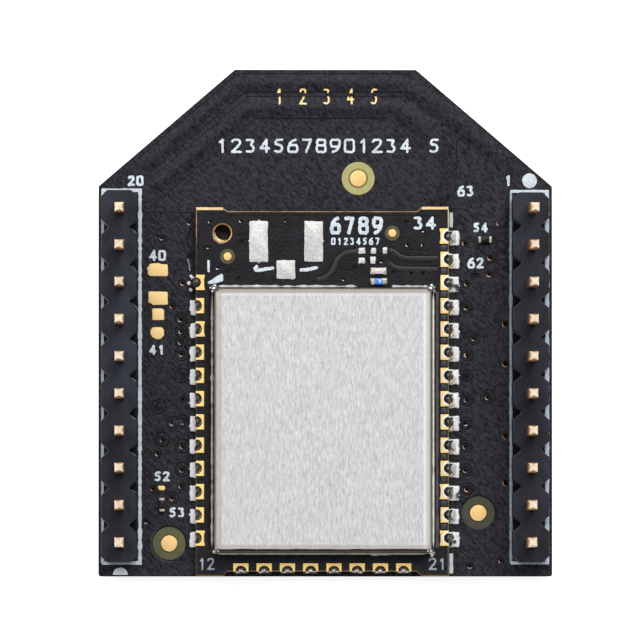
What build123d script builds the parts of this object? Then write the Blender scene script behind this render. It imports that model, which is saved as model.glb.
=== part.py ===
from build123d import *
import math
import os

# A through-hole radio module lying on its back, pin tips up.
# X runs across the two pin rows, +Y towards the narrow aerial end, Z = 0 at the pin tails.
# Every size below is in millimetres.

# Carrier board
carrier_thickness = 0.79
nose_width = 9.75
nose_cut_length = 6.27
edge_past_row = 1.19
end_past_strip = 0.725
shoulder_past_strip = 0.255

# Header strips and pins
pins_per_row = 10
pin_pitch = 2.0
row_spacing = 22.0
row_shift = -0.05
strip_width = 1.95
strip_height = 2.0
strip_corner_cut = 0.34
notch_depth = 0.38
notch_opening = 0.82
notch_floor = 0.08
pin_width = 0.5
pin_reach = 4.06
pin_tail = 0.7
tip_length = 0.16
tip_taper = 0.09
pin_grip_clearance = 0.01
pin_hole_diameter = 0.8
drill_sides = 12
tail_fillet_diameter = 1.3
tail_fillet_height = 0.42
tail_fillet_lip = 0.03
tail_fillet_waist = 0.1
tail_fillet_sides = 8

# Copper on both boards
copper = 0.035
tinned_copper = 0.06

# Castellated radio board: the shield with a margin on each side and the aerial zone beyond it
radio_thickness = 0.8
radio_shift_x = -0.18
board_past_shield = 0.95
pin_end_past_shield = 1.26
aerial_zone_length = 4.34
tab_length = 1.45
tab_height = 0.24

# Half-hole contacts round the radio board
contact_pitch = 1.25
last_contact_height = 2.03
first_contact_margin = 1.0
missing_left_count = 2
bottom_corner_margin = 2.0
contact_hole_diameter = 0.6
contact_land_width = 0.86
contact_land_depth = 0.47
contact_under_depth = 0.75
land_ear_reach = 0.1
land_ear_width = 0.17
left_ground_contacts = (0, 2, 11)
right_ground_contacts = (0, 11, 13)

# Lands on the carrier under those contacts, and their solder
left_land_show = 0.31
right_land_show = 0.585
land_shift_y = -0.08
carrier_land_width = 0.84
carrier_land_length = 1.15
bottom_land_reach = 0.12
solder_width = 0.64
solder_end_margin = 0.03
solder_climb = 0.62
solder_toe = 0.04
slope_middle_share = 0.62
slope_middle_drop = 0.7

# Shield can and its solder
shield_width = 11.7
shield_length = 14.2
shield_height = 1.35
shield_sheet = 0.15
shield_bend = 0.36
corner_relief_radius = 0.28
corner_relief_inset = 0.06
mouse_hole_width = 1.8
mouse_hole_height = 0.35
mouse_hole_offset = 2.82
foot_solder_width = 0.16
foot_solder_height = 0.2
foot_solder_toe = 0.05
corner_bead_radius = 0.2

# Plated hole, targets and bare lands in the aerial zone: X from the board's middle, drop from its end
plated_hole_x = -5.37
plated_hole_drop = 1.36
plated_hole_diameter = 0.88
plated_ring_diameter = 1.04
radio_target_diameter = 0.48
left_target_x = -5.1
left_target_drop = 2.62
right_target_x = 3.77
right_target_drop = 1.36
aerial_socket_x = -1.95
aerial_socket_drop = 1.81
socket_land_width = 1.0
socket_ground_length = 2.2
socket_ground_spacing = 2.96
socket_signal_length = 1.0
socket_signal_drop = 1.52
matching_land_width = 0.3
matching_land_length = 0.33
matching_column_x = 2.42
matching_land_drop = 2.32
matching_column_step = 0.62
matching_row_step = 0.53

# Small chip parts in the open
matching_chip_length = 0.88
matching_chip_width = 0.33
matching_chip_height = 0.3
matching_chip_x = 3.03
upper_chip_drop = 3.4
lower_chip_drop = 3.97
link_chip_length = 0.94
link_chip_width = 0.46
link_chip_height = 0.33
link_chip_cap = 0.2
matching_chip_cap = 0.2
chip_cap_proud = 0.015
right_link_share = 0.504
right_link_rise = 18.115
left_link_share = 0.458
left_link_rise = 3.825

# Bare gold lands and targets on the carrier: rise from its pin end, share of the way across the
# channel between a strip and the contact lands
carrier_target_diameter = 0.88
nose_target_x = 1.77
nose_target_rise = 21.415
left_target_share = 0.598
left_target_rise = 1.755
right_target_share = 0.37
right_target_rise = 3.395
spare_land_share = 0.375
large_land_width = 1.0
large_land_length = 0.68
large_pair_rise = 15.755
large_pair_spacing = 1.56
small_land_width = 0.68
small_land_length = 0.62
small_pair_rise = 13.585
small_pair_spacing = 1.02
land_corner_cut = 0.08
lone_land_width = 0.38
lone_land_length = 0.27
lone_land_rise = 4.745

# Parts inside the shield
inner_chip_gap = 0.02
inner_wall_gap = 0.6
inner_row_gap = 0.5
radio_chip_size = 7.0
radio_chip_height = 0.85
chip_edge_cut = 0.08
chip_dot_diameter = 0.6
chip_dot_depth = 0.05
chip_dot_inset = 0.9
main_crystal_width = 2.0
main_crystal_length = 2.5
main_crystal_height = 0.55
clock_crystal_width = 1.5
clock_crystal_length = 3.2
clock_crystal_height = 0.75
crystal_wall_gap = 0.3
main_crystal_rise = 2.3
clock_crystal_fall = 1.8
crystal_lid_inset = 0.15
crystal_lid_height = 0.12
inductor_length = 2.0
inductor_width = 1.6
inductor_height = 1.0
inductor_cap = 0.4
capacitor_length = 1.0
capacitor_width = 0.5
capacitor_height = 0.5
capacitor_cap = 0.25
capacitor_count = 6
capacitor_pitch = 0.9
capacitor_row_x = 0.6
filter_length = 0.6
filter_width = 0.3
filter_height = 0.3
filter_cap = 0.15
filter_count = 4
filter_pitch = 0.7
filter_row_x = 2.4

# Sizes and levels that follow from the ones above
row_length = pins_per_row * pin_pitch
carrier_width = row_spacing + 2 * edge_past_row
carrier_length = end_past_strip + row_length + shoulder_past_strip + nose_cut_length
carrier_end_y = -carrier_length / 2
row_middle_y = carrier_end_y + end_past_strip + row_length / 2
radio_width = shield_width + 2 * board_past_shield
radio_length = pin_end_past_shield + shield_length + aerial_zone_length
half_radio_width = radio_width / 2
half_radio_length = radio_length / 2
radio_middle_y = carrier_end_y + half_radio_length
shield_middle_y = carrier_end_y + pin_end_past_shield + shield_length / 2
notched_end = half_radio_length - tab_height
right_contacts = int((radio_length - last_contact_height - first_contact_margin) / contact_pitch) + 1
left_contacts = right_contacts - missing_left_count
bottom_contacts = int((radio_width - 2 * bottom_corner_margin) / contact_pitch) + 1
contact_hole_radius = contact_hole_diameter / 2
plated_radius = contact_hole_radius - copper
carrier_back = pin_tail
carrier_top = carrier_back + carrier_thickness
strip_top = carrier_top + strip_height
radio_under = carrier_top + 2 * copper
radio_top = radio_under + radio_thickness

# Places inside the shield, from its centre
inner_half_width = shield_width / 2 - shield_sheet
inner_half_length = shield_length / 2 - shield_sheet
crystal_column_x = inner_half_width - crystal_wall_gap - main_crystal_width / 2
radio_chip_x = (crystal_column_x - main_crystal_width / 2 - inner_half_width) / 2
row_head_y = -inner_half_length + inner_wall_gap + inductor_width
radio_chip_y = row_head_y + inner_row_gap + radio_chip_size / 2
inductor_x = -inner_half_width + inner_wall_gap + inductor_length / 2
inductor_y = row_head_y - inductor_width / 2
capacitor_row_y = row_head_y - capacitor_length / 2
filter_row_y = radio_chip_y + radio_chip_size / 2 + inner_row_gap + filter_length / 2

standing = (Align.CENTER, Align.CENTER, Align.MIN)
hanging = (Align.CENTER, Align.CENTER, Align.MAX)


def block(width, length, height, x, y, z):
    """A plain block whose underside is centred on x, y, z."""
    return Pos(x, y, z) * Box(width, length, height, align=standing)


def disc(diameter, height, x, y, z):
    """An upright round plug whose underside is centred on x, y, z."""
    return Pos(x, y, z) * Cylinder(diameter / 2, height, align=standing)


def drilled(diameter, height, x, y, z):
    """The plug of a small repeated hole, with a few flats for its round wall."""
    return Pos(x, y, z) * extrude(RegularPolygon(diameter / 2, drill_sides), height)


def slab(points, height, z):
    """A flat plate with a straight-sided outline."""
    outline = make_face(Polyline(*points, close=True))
    return Pos(0, 0, z) * extrude(outline, height)


def group(solids):
    """Separate solids kept as one node."""
    return Compound(children=list(solids))


def row_ys():
    """Pin places along a row, from the aerial end down."""
    first = row_middle_y + row_length / 2 - pin_pitch / 2
    return [first - i * pin_pitch for i in range(pins_per_row)]


def row_x(side):
    """Middle of the right row for side 1, of the left row for side -1."""
    return row_shift + side * row_spacing / 2


# Carrier board: a rectangle with two long corner cuts that leave the narrow nose

def carrier_board():
    half_width = carrier_width / 2
    half_nose = nose_width / 2
    end = carrier_length / 2
    shoulder = end - nose_cut_length
    outline = [(-half_width, -end), (half_width, -end), (half_width, shoulder)]
    outline += [(half_nose, end), (-half_nose, end), (-half_width, shoulder)]
    board = slab(outline, carrier_thickness, carrier_back)
    for side in (-1, 1):
        for y in row_ys():
            board -= drilled(pin_hole_diameter, carrier_thickness, row_x(side), y, carrier_back)
    return board


# Header strip: one moulding, notched on both sides between its pins

def notch(side, y):
    """The wedge between two pin cells, open to one side of the strip."""
    edge = side * strip_width / 2
    floor = edge - side * notch_depth
    wedge = [(edge, y - notch_opening / 2), (edge, y + notch_opening / 2)]
    wedge += [(floor, y + notch_floor / 2), (floor, y - notch_floor / 2)]
    return slab(wedge, strip_height, 0)


def header_strip(side):
    body = Box(strip_width, row_length, strip_height, align=standing)
    body = chamfer(body.edges().filter_by(Axis.Z), strip_corner_cut)
    for i in range(1, pins_per_row):
        y = row_length / 2 - i * pin_pitch
        for edge_side in (-1, 1):
            body -= notch(edge_side, y)
    bore = pin_width + 2 * pin_grip_clearance
    for i in range(pins_per_row):
        y = row_length / 2 - (i + 0.5) * pin_pitch
        body -= block(bore, bore, strip_height, 0, y, 0)
    return Pos(row_x(side), row_middle_y, carrier_top) * body


# Pin: square wire with a blunt four-sided point at both ends

def pin_point(z, direction):
    """The tapered end of a pin, from its full section at z."""
    full = Rectangle(pin_width, pin_width)
    small = Rectangle(pin_width - 2 * tip_taper, pin_width - 2 * tip_taper)
    return loft([Pos(0, 0, z) * full, Pos(0, 0, z + direction * tip_length) * small])


def pin():
    top = strip_top + pin_reach
    shank = block(pin_width, pin_width, top - 2 * tip_length, 0, 0, tip_length)
    return shank + pin_point(top - tip_length, 1) + pin_point(tip_length, -1)


def pin_places():
    """Pin 1 at the aerial end of the right row, the last at that end of the left row."""
    down = [(row_x(1), y) for y in row_ys()]
    up = [(row_x(-1), y) for y in reversed(row_ys())]
    return down + up


# Solder at the pin tails: a hollow-sided cone round each tail on the back

def tail_joint():
    base = RegularPolygon(tail_fillet_diameter / 2, tail_fillet_sides)
    waist = RegularPolygon(pin_width / math.sqrt(2) + tail_fillet_waist, tail_fillet_sides)
    neck = RegularPolygon(pin_width / math.sqrt(2) + tail_fillet_lip, tail_fillet_sides)
    low = carrier_back - tail_fillet_height
    middle = carrier_back - tail_fillet_height / 2
    cone = loft([Pos(0, 0, carrier_back) * base, Pos(0, 0, middle) * waist])
    cone += loft([Pos(0, 0, middle) * waist, Pos(0, 0, low) * neck])
    return cone - block(pin_width, pin_width, tail_fillet_height, 0, 0, low)


def tail_solder(side):
    joint = tail_joint()
    return group(Pos(row_x(side), y, 0) * joint for y in row_ys())


# Radio board: end tabs stand proud of both short edges, half-holes on three sides

def contact_places():
    """Each contact as x, y, its turn and whether it is a ground one, from the board's centre."""
    first = -half_radio_length + last_contact_height
    places = []
    for i in range(left_contacts):
        is_ground = left_contacts - 1 - i in left_ground_contacts
        places.append((-half_radio_width, first + i * contact_pitch, 0, is_ground))
    for i in range(right_contacts):
        is_ground = right_contacts - 1 - i in right_ground_contacts
        places.append((half_radio_width, first + i * contact_pitch, 180, is_ground))
    for i in range(bottom_contacts):
        x = (i - (bottom_contacts - 1) / 2) * contact_pitch
        places.append((x, -notched_end, 90, False))
    return places


def radio_outline():
    corner = half_radio_width - tab_length
    inner = corner - tab_height
    quarter = [(half_radio_width, half_radio_length), (corner, half_radio_length)]
    quarter += [(inner, notched_end)]
    top = quarter + [(-x, y) for x, y in reversed(quarter)]
    return top + [(-x, -y) for x, y in top]


def radio_board():
    board = slab(radio_outline(), radio_thickness, 0)
    for x, y, turn, is_ground in contact_places():
        board -= drilled(contact_hole_diameter, radio_thickness, x, y, 0)
    plated_hole_y = half_radio_length - plated_hole_drop
    board -= disc(plated_hole_diameter + 2 * copper, radio_thickness, plated_hole_x, plated_hole_y, 0)
    return Pos(radio_shift_x, radio_middle_y, radio_under) * board


# Contact: a half barrel with a land on each face of the radio board

def contact(is_ground):
    """The board lies on the +X side of the edge line through the origin."""
    top_x = contact_land_depth / 2
    under_x = contact_under_depth / 2
    top_land = block(contact_land_depth, contact_land_width, copper, top_x, 0, radio_thickness)
    under_land = block(contact_under_depth, contact_land_width, copper, under_x, 0, -copper)
    barrel = drilled(contact_hole_diameter, radio_thickness, 0, 0, 0)
    inside = block(contact_hole_diameter, contact_hole_diameter, radio_thickness, contact_hole_radius, 0, 0)
    piece = top_land + under_land + (barrel & inside)
    if is_ground:
        ear_x = contact_land_depth + land_ear_reach / 2
        ear_y = (contact_land_width - land_ear_width) / 2
        for side in (-1, 1):
            piece += block(land_ear_reach, land_ear_width, copper, ear_x, side * ear_y, radio_thickness)
    full_height = radio_thickness + 2 * copper
    return piece - drilled(2 * plated_radius, full_height, 0, 0, -copper)


def edge_contacts():
    plain = contact(False)
    ground = contact(True)
    pieces = []
    for x, y, turn, is_ground in contact_places():
        place = Pos(radio_shift_x + x, radio_middle_y + y, radio_under) * Rot(0, 0, turn)
        pieces.append(place * (ground if is_ground else plain))
    return group(pieces)


# Carrier lands under the contacts

def land_end_x(side):
    """Outer end of a column of carrier lands, past the radio board's edge."""
    show = right_land_show if side > 0 else left_land_show
    return radio_shift_x + side * (half_radio_width + show)


def carrier_contact_lands():
    across = (carrier_land_length, carrier_land_width, copper)
    along = (carrier_land_width, carrier_land_length, copper)
    pieces = []
    for x, y, turn, is_ground in contact_places():
        board_y = radio_middle_y + y
        if turn == 90:
            low = board_y - bottom_land_reach
            land_y = low + carrier_land_length / 2
            land_x = radio_shift_x + x
            pieces.append(block(*along, land_x, land_y, carrier_top))
        else:
            side = 1 if x > 0 else -1
            land_x = land_end_x(side) - side * carrier_land_length / 2
            land_y = board_y + land_shift_y
            pieces.append(block(*across, land_x, land_y, carrier_top))
    return group(pieces)


# Solder at a contact: it fills the half-hole part way and runs down onto the carrier land

def contact_joint(reach):
    """The board lies on the +X side, the bare end of the land on the -X side."""
    climb = solder_climb * (radio_thickness + copper)
    slope = ThreePointArc(
        (0, climb),
        (-reach * slope_middle_share, climb * slope_middle_drop),
        (-reach, solder_toe),
    )
    foot = Line((-reach, solder_toe), (-reach, 0)) + Line((-reach, 0), (0, 0)) + Line((0, 0), (0, climb))
    side_view = make_face(Plane.XZ * (slope + foot))
    ramp = extrude(side_view, solder_width / 2, both=True)
    plug = drilled(2 * plated_radius, climb, 0, 0, 0)
    board_side = block(plated_radius, 2 * plated_radius, climb, plated_radius / 2, 0, 0)
    return ramp + (plug & board_side)


def contact_solder(turn, reach):
    joint = contact_joint(reach)
    level = carrier_top + copper
    pieces = []
    for x, y, contact_turn, is_ground in contact_places():
        if contact_turn == turn:
            place = Pos(radio_shift_x + x, radio_middle_y + y, level) * Rot(0, 0, turn)
            pieces.append(place * joint)
    return group(pieces)


# Shield can: folded from one sheet, open below, with a relief at each corner

def shield_can():
    outer = Box(shield_width, shield_length, shield_height, align=standing)
    outer = fillet(outer.faces().sort_by(Axis.Z)[-1].edges(), shield_bend)
    inner_width = shield_width - 2 * shield_sheet
    inner_length = shield_length - 2 * shield_sheet
    inner = Box(inner_width, inner_length, shield_height - shield_sheet, align=standing)
    inner = fillet(inner.faces().sort_by(Axis.Z)[-1].edges(), shield_bend - shield_sheet)
    can = outer - inner
    for side_x in (-1, 1):
        for side_y in (-1, 1):
            x = side_x * (shield_width / 2 - corner_relief_inset)
            y = side_y * (shield_length / 2 - corner_relief_inset)
            can -= disc(2 * corner_relief_radius, shield_height, x, y, 0)
    wall_y = shield_length / 2 - shield_sheet / 2
    can -= block(mouse_hole_width, 2 * shield_sheet, mouse_hole_height, mouse_hole_offset, wall_y, 0)
    return Pos(radio_shift_x, shield_middle_y, radio_top) * can


def shield_solder():
    """A sloping bead all round the foot, with a drop in each corner relief."""
    foot = Rectangle(shield_width + 2 * foot_solder_width, shield_length + 2 * foot_solder_width)
    head = Rectangle(shield_width + 2 * foot_solder_toe, shield_length + 2 * foot_solder_toe)
    bead = loft([foot, Pos(0, 0, foot_solder_height) * head])
    bead -= Box(shield_width, shield_length, foot_solder_height, align=standing)
    gap_y = shield_length / 2
    bead -= block(mouse_hole_width, 4 * foot_solder_width, foot_solder_height, mouse_hole_offset, gap_y, 0)
    for side_x in (-1, 1):
        for side_y in (-1, 1):
            x = side_x * (shield_width / 2 - corner_relief_inset)
            y = side_y * (shield_length / 2 - corner_relief_inset)
            bead += disc(2 * corner_bead_radius, foot_solder_height, x, y, 0)
    return Pos(radio_shift_x, shield_middle_y, radio_top) * bead


# Bare metal on the radio board

def on_radio(x, drop):
    """A place on the radio board's face: x from its middle, drop from its aerial end."""
    return Pos(radio_shift_x + x, radio_middle_y + half_radio_length - drop, radio_top)


def plated_hole():
    ring = disc(plated_ring_diameter, copper, 0, 0, 0)
    barrel = disc(plated_hole_diameter + 2 * copper, radio_thickness, 0, 0, -radio_thickness)
    liner = ring + barrel - disc(plated_hole_diameter, radio_thickness + copper, 0, 0, -radio_thickness)
    return on_radio(plated_hole_x, plated_hole_drop) * liner


def radio_targets():
    spot = disc(radio_target_diameter, copper, 0, 0, 0)
    left = on_radio(left_target_x, left_target_drop) * spot
    right = on_radio(right_target_x, right_target_drop) * spot
    return group([left, right])


def socket_lands():
    ground = block(socket_land_width, socket_ground_length, tinned_copper, 0, 0, 0)
    signal = block(socket_land_width, socket_signal_length, tinned_copper, 0, 0, 0)
    half = socket_ground_spacing / 2
    pieces = [on_radio(aerial_socket_x + side * half, aerial_socket_drop) * ground for side in (-1, 1)]
    pieces.append(on_radio(aerial_socket_x, aerial_socket_drop + socket_signal_drop) * signal)
    return group(pieces)


def matching_lands():
    """Empty lands of the aerial matching parts, three above and two below."""
    land = block(matching_land_width, matching_land_length, tinned_copper, 0, 0, 0)
    cells = [(-0.5, 0), (0.5, 0), (1.5, 0), (-0.5, 1), (0.5, 1)]
    pieces = []
    for column, row in cells:
        x = matching_column_x + column * matching_column_step
        drop = matching_land_drop + row * matching_row_step
        pieces.append(on_radio(x, drop) * land)
    return group(pieces)


def on_carrier(x, rise):
    """A place on the carrier's face: x from its middle, rise from its pin end."""
    return Pos(x, carrier_end_y + rise, carrier_top)


def channel_x(side, share):
    """Part of the way across a channel: from the strip on the left, from the lands on the right."""
    strip_edge = row_x(side) - side * strip_width / 2
    lands_edge = land_end_x(side)
    start, stop = (strip_edge, lands_edge) if side < 0 else (lands_edge, strip_edge)
    return start + share * (stop - start)


# Chip parts with a metal cap over each end

def end_capped_chip(length, width, height, cap):
    body = block(length, width, height, 0, 0, chip_cap_proud)
    for side in (-1, 1):
        x = side * (length - cap) / 2
        rim = 2 * chip_cap_proud
        body += block(cap + rim, width + rim, height + rim, x, 0, 0)
    return body


def matching_chip(drop):
    size = (matching_chip_length, matching_chip_width, matching_chip_height)
    return on_radio(matching_chip_x, drop) * end_capped_chip(*size, matching_chip_cap)


def link_chip(x, rise, turn):
    chip = end_capped_chip(link_chip_length, link_chip_width, link_chip_height, link_chip_cap)
    return on_carrier(x, rise) * Rot(0, 0, turn) * chip


# Bare gold lands on the carrier

def gold_land(width, length, x, rise):
    land = Box(width, length, copper, align=standing)
    return on_carrier(x, rise) * chamfer(land.edges().filter_by(Axis.Z), land_corner_cut)


def carrier_gold_lands():
    x = channel_x(-1, spare_land_share)
    pieces = []
    for side in (-1, 1):
        large_rise = large_pair_rise + side * large_pair_spacing / 2
        small_rise = small_pair_rise + side * small_pair_spacing / 2
        pieces.append(gold_land(large_land_width, large_land_length, x, large_rise))
        pieces.append(gold_land(small_land_width, small_land_length, x, small_rise))
    lone_x = channel_x(-1, left_link_share)
    pieces.append(gold_land(lone_land_width, lone_land_length, lone_x, lone_land_rise))
    return group(pieces)


def carrier_targets():
    spot = disc(carrier_target_diameter, copper, 0, 0, 0)
    places = [(nose_target_x, nose_target_rise)]
    places.append((channel_x(-1, left_target_share), left_target_rise))
    places.append((channel_x(1, right_target_share), right_target_rise))
    return group(on_carrier(x, rise) * spot for x, rise in places)


# Parts under the shield

def inside_shield(x, y):
    """A place on the radio board's face, from the shield's centre."""
    return Pos(radio_shift_x + x, shield_middle_y + y, radio_top + inner_chip_gap)


def radio_chip():
    body = Box(radio_chip_size, radio_chip_size, radio_chip_height, align=standing)
    body = chamfer(body.faces().sort_by(Axis.Z)[-1].edges(), chip_edge_cut)
    inset = radio_chip_size / 2 - chip_dot_inset
    dot = Cylinder(chip_dot_diameter / 2, chip_dot_depth, align=hanging)
    body -= Pos(-inset, inset, radio_chip_height) * dot
    return inside_shield(radio_chip_x, radio_chip_y) * body


def crystal(width, length, height, y):
    """A ceramic tray with a raised metal lid."""
    tray = Box(width, length, height - crystal_lid_height, align=standing)
    lid_width = width - 2 * crystal_lid_inset
    lid_length = length - 2 * crystal_lid_inset
    lid = block(lid_width, lid_length, crystal_lid_height, 0, 0, height - crystal_lid_height)
    return inside_shield(crystal_column_x, y) * (tray + lid)


def main_crystal():
    size = (main_crystal_width, main_crystal_length, main_crystal_height)
    return crystal(*size, radio_chip_y + main_crystal_rise)


def clock_crystal():
    size = (clock_crystal_width, clock_crystal_length, clock_crystal_height)
    return crystal(*size, radio_chip_y - clock_crystal_fall)


def power_inductor():
    body = end_capped_chip(inductor_length, inductor_width, inductor_height, inductor_cap)
    return inside_shield(inductor_x, inductor_y) * body


def chip_row(chip, count, pitch, x, y, turn):
    """Like chips side by side in a row along X."""
    pieces = []
    for i in range(count):
        step = (i - (count - 1) / 2) * pitch
        pieces.append(inside_shield(x + step, y) * Rot(0, 0, turn) * chip)
    return group(pieces)


def decoupling_capacitors():
    chip = end_capped_chip(capacitor_length, capacitor_width, capacitor_height, capacitor_cap)
    return chip_row(chip, capacitor_count, capacitor_pitch, capacitor_row_x, capacitor_row_y, 90)


def filter_parts():
    chip = end_capped_chip(filter_length, filter_width, filter_height, filter_cap)
    return chip_row(chip, filter_count, filter_pitch, filter_row_x, filter_row_y, 90)


# One file for each node

def all_nodes():
    nodes = {
        "carrier_board": carrier_board(),
        "header_strip_left": header_strip(-1),
        "header_strip_right": header_strip(1),
        "tail_solder_left": tail_solder(-1),
        "tail_solder_right": tail_solder(1),
        "radio_board": radio_board(),
        "edge_contacts": edge_contacts(),
        "carrier_contact_lands": carrier_contact_lands(),
        "contact_solder_left": contact_solder(0, left_land_show - solder_end_margin),
        "contact_solder_right": contact_solder(180, right_land_show - solder_end_margin),
        "contact_solder_bottom": contact_solder(90, bottom_land_reach - solder_end_margin),
        "shield_can": shield_can(),
        "shield_solder": shield_solder(),
        "plated_hole": plated_hole(),
        "radio_targets": radio_targets(),
        "socket_lands": socket_lands(),
        "matching_lands": matching_lands(),
        "matching_capacitor": matching_chip(upper_chip_drop),
        "matching_inductor": matching_chip(lower_chip_drop),
        "link_resistor_right": link_chip(channel_x(1, right_link_share), right_link_rise, 0),
        "link_resistor_left": link_chip(channel_x(-1, left_link_share), left_link_rise, 90),
        "carrier_gold_lands": carrier_gold_lands(),
        "carrier_targets": carrier_targets(),
        "radio_chip": radio_chip(),
        "main_crystal": main_crystal(),
        "clock_crystal": clock_crystal(),
        "power_inductor": power_inductor(),
        "decoupling_capacitors": decoupling_capacitors(),
        "filter_parts": filter_parts(),
    }
    one_pin = pin()
    for number, (x, y) in enumerate(pin_places(), start=1):
        nodes[f"pin_{number:02d}"] = Pos(x, y, 0) * one_pin
    return nodes


os.makedirs("parts", exist_ok=True)
for name, shape in all_nodes().items():
    export_step(shape, f"parts/{name}.step")
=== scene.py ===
import bpy
import math
import numpy as np
from mathutils import Matrix, Vector


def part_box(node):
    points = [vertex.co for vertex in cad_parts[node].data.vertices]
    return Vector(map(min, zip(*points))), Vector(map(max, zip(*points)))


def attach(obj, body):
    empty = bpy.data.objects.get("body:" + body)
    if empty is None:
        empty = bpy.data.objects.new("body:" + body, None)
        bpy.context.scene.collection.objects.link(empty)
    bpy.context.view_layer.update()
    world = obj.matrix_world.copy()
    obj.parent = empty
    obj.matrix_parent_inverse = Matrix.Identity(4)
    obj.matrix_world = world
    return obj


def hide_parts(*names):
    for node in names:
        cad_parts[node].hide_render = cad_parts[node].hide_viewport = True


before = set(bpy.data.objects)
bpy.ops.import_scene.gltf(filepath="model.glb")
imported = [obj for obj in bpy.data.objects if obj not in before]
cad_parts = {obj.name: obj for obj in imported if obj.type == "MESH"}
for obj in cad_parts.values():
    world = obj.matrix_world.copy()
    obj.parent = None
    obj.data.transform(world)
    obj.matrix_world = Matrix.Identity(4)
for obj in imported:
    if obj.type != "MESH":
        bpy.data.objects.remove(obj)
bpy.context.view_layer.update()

scene = bpy.context.scene
mm = 0.001
rng = np.random.default_rng(7)


# Places: everything below is worked out in millimetres and made metres in newPiece

def nodeBox(name):
    # Low and high corner of a CAD node, in millimetres
    low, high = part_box(name)
    return np.array(low) / mm, np.array(high) / mm


carrierLow, carrierHigh = nodeBox("carrier_board")
radioLow, radioHigh = nodeBox("radio_board")
shieldLow, shieldHigh = nodeBox("shield_can")
stripLow, stripHigh = nodeBox("header_strip_left")
pinLow, pinHigh = nodeBox("pin_01")
carrierTop, carrierBack = carrierHigh[2], carrierLow[2]
radioTop, radioUnder = radioHigh[2], radioLow[2]
radioMiddle = (radioLow + radioHigh) / 2
shieldMiddle = (shieldLow + shieldHigh) / 2
print("frame loaded", len(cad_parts), "nodes")

photo = {"middleX": 325.4, "middleY": 323.0, "pixelsPerMm": 18.57, "nadirX": -10.0, "nadirY": -15.0,
         "cameraHeight": 580.0}


def spots(pixels, level):
    # A photo pixel is scaled to the carrier's face, then moved towards the nadir by its height
    pixels = np.asarray(pixels, float).reshape(-1, 2)
    x = (pixels[:, 0] - photo["middleX"]) / photo["pixelsPerMm"]
    y = (photo["middleY"] - pixels[:, 1]) / photo["pixelsPerMm"]
    lift = (level - carrierTop) / photo["cameraHeight"]
    x = x - (x - photo["nadirX"]) * lift
    y = y - (y - photo["nadirY"]) * lift
    return np.stack([x, y], 1)


# Shapes: a shape is its points, its four-sided faces and its end caps

def gridFaces(rows, columns, closeRows=False, closeColumns=True):
    # Each face joins a point to the next one in its row and to the two above them
    row = np.arange(rows if closeRows else rows - 1)[:, None]
    column = np.arange(columns if closeColumns else columns - 1)[None, :]
    nextRow = (row + 1) % rows
    nextColumn = (column + 1) % columns
    corners = [row * columns + column, row * columns + nextColumn]
    corners += [nextRow * columns + nextColumn, nextRow * columns + column]
    return np.stack([np.broadcast_to(c, (len(row), column.size)) for c in corners], -1).reshape(-1, 4)


def stackRings(rings, closed=False):
    # Rings one above another, joined by walls, with a cap on the first and the last
    rows, columns = rings.shape[:2]
    faces = gridFaces(rows, columns, closeRows=closed)
    caps = []
    if not closed:
        caps = [np.arange(columns)[::-1], np.arange(columns) + (rows - 1) * columns]
    return rings.reshape(-1, 3), faces, caps


def joinShapes(shapes):
    # Several shapes become one: each one's faces are counted on from the points before it
    points, faces, caps, start = [], [], [], 0
    for shapePoints, shapeFaces, shapeCaps in shapes:
        points.append(shapePoints)
        faces.append(shapeFaces + start)
        caps += [cap + start for cap in shapeCaps]
        start += len(shapePoints)
    return np.concatenate(points), np.concatenate(faces), caps


def stamp(shape, x, y, z=0.0, turn=0.0, size=1.0):
    # Copies of one shape: each is scaled, turned about Z through its origin, then moved
    points, faces, caps = shape
    values = [np.atleast_1d(np.asarray(value, float)) for value in (x, y, z, turn, size)]
    x, y, z, turn, size = np.broadcast_arrays(*values)
    cosine = np.cos(np.radians(turn))[:, None]
    sine = np.sin(np.radians(turn))[:, None]
    scaled = points[None] * size[:, None, None]
    newX = scaled[:, :, 0] * cosine - scaled[:, :, 1] * sine + x[:, None]
    newY = scaled[:, :, 0] * sine + scaled[:, :, 1] * cosine + y[:, None]
    newZ = scaled[:, :, 2] + z[:, None]
    starts = np.arange(len(x)) * len(points)
    moved = np.stack([newX, newY, newZ], -1).reshape(-1, 3)
    allFaces = (faces[None] + starts[:, None, None]).reshape(-1, 4)
    return moved, allFaces, [cap + start for start in starts for cap in caps]


def resample(line, step, closed=False):
    # Points evenly spaced along a line of straight runs
    line = np.asarray(line, float)
    if closed:
        line = np.vstack([line, line[:1]])
    along = np.concatenate([[0.0], np.cumsum(np.linalg.norm(np.diff(line, axis=0), axis=1))])
    count = max(int(round(along[-1] / step)), 3)
    places = np.linspace(0, along[-1], count + 1)
    even = np.stack([np.interp(places, along, line[:, k]) for k in range(2)], 1)
    return even[:-1] if closed else even


def sideways(line, closed):
    # Unit vector to the right of a line at each point, lengthened at corners
    if closed:
        ahead = np.roll(line, -1, 0) - line
        behind = line - np.roll(line, 1, 0)
    else:
        step = np.diff(line, axis=0)
        ahead = np.vstack([step, step[-1:]])
        behind = np.vstack([step[:1], step])
    ahead = ahead / np.linalg.norm(ahead, axis=1, keepdims=True)
    behind = behind / np.linalg.norm(behind, axis=1, keepdims=True)
    both = ahead + behind
    right = np.stack([both[:, 1], -both[:, 0]], 1)
    stretch = 1 + np.clip((ahead * behind).sum(1, keepdims=True), -0.5, 1)
    return right / stretch


def smoothNoise(count, reach, amount, closed=False):
    # Random steps averaged over a few neighbours, scaled to the amount
    values = rng.normal(0, 1, count + 2 * reach)
    if closed:
        values[-2 * reach:] = values[:2 * reach]
    smooth = np.convolve(values, np.ones(2 * reach + 1) / (2 * reach + 1), "valid")
    return smooth * amount * math.sqrt(2 * reach + 1)


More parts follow.
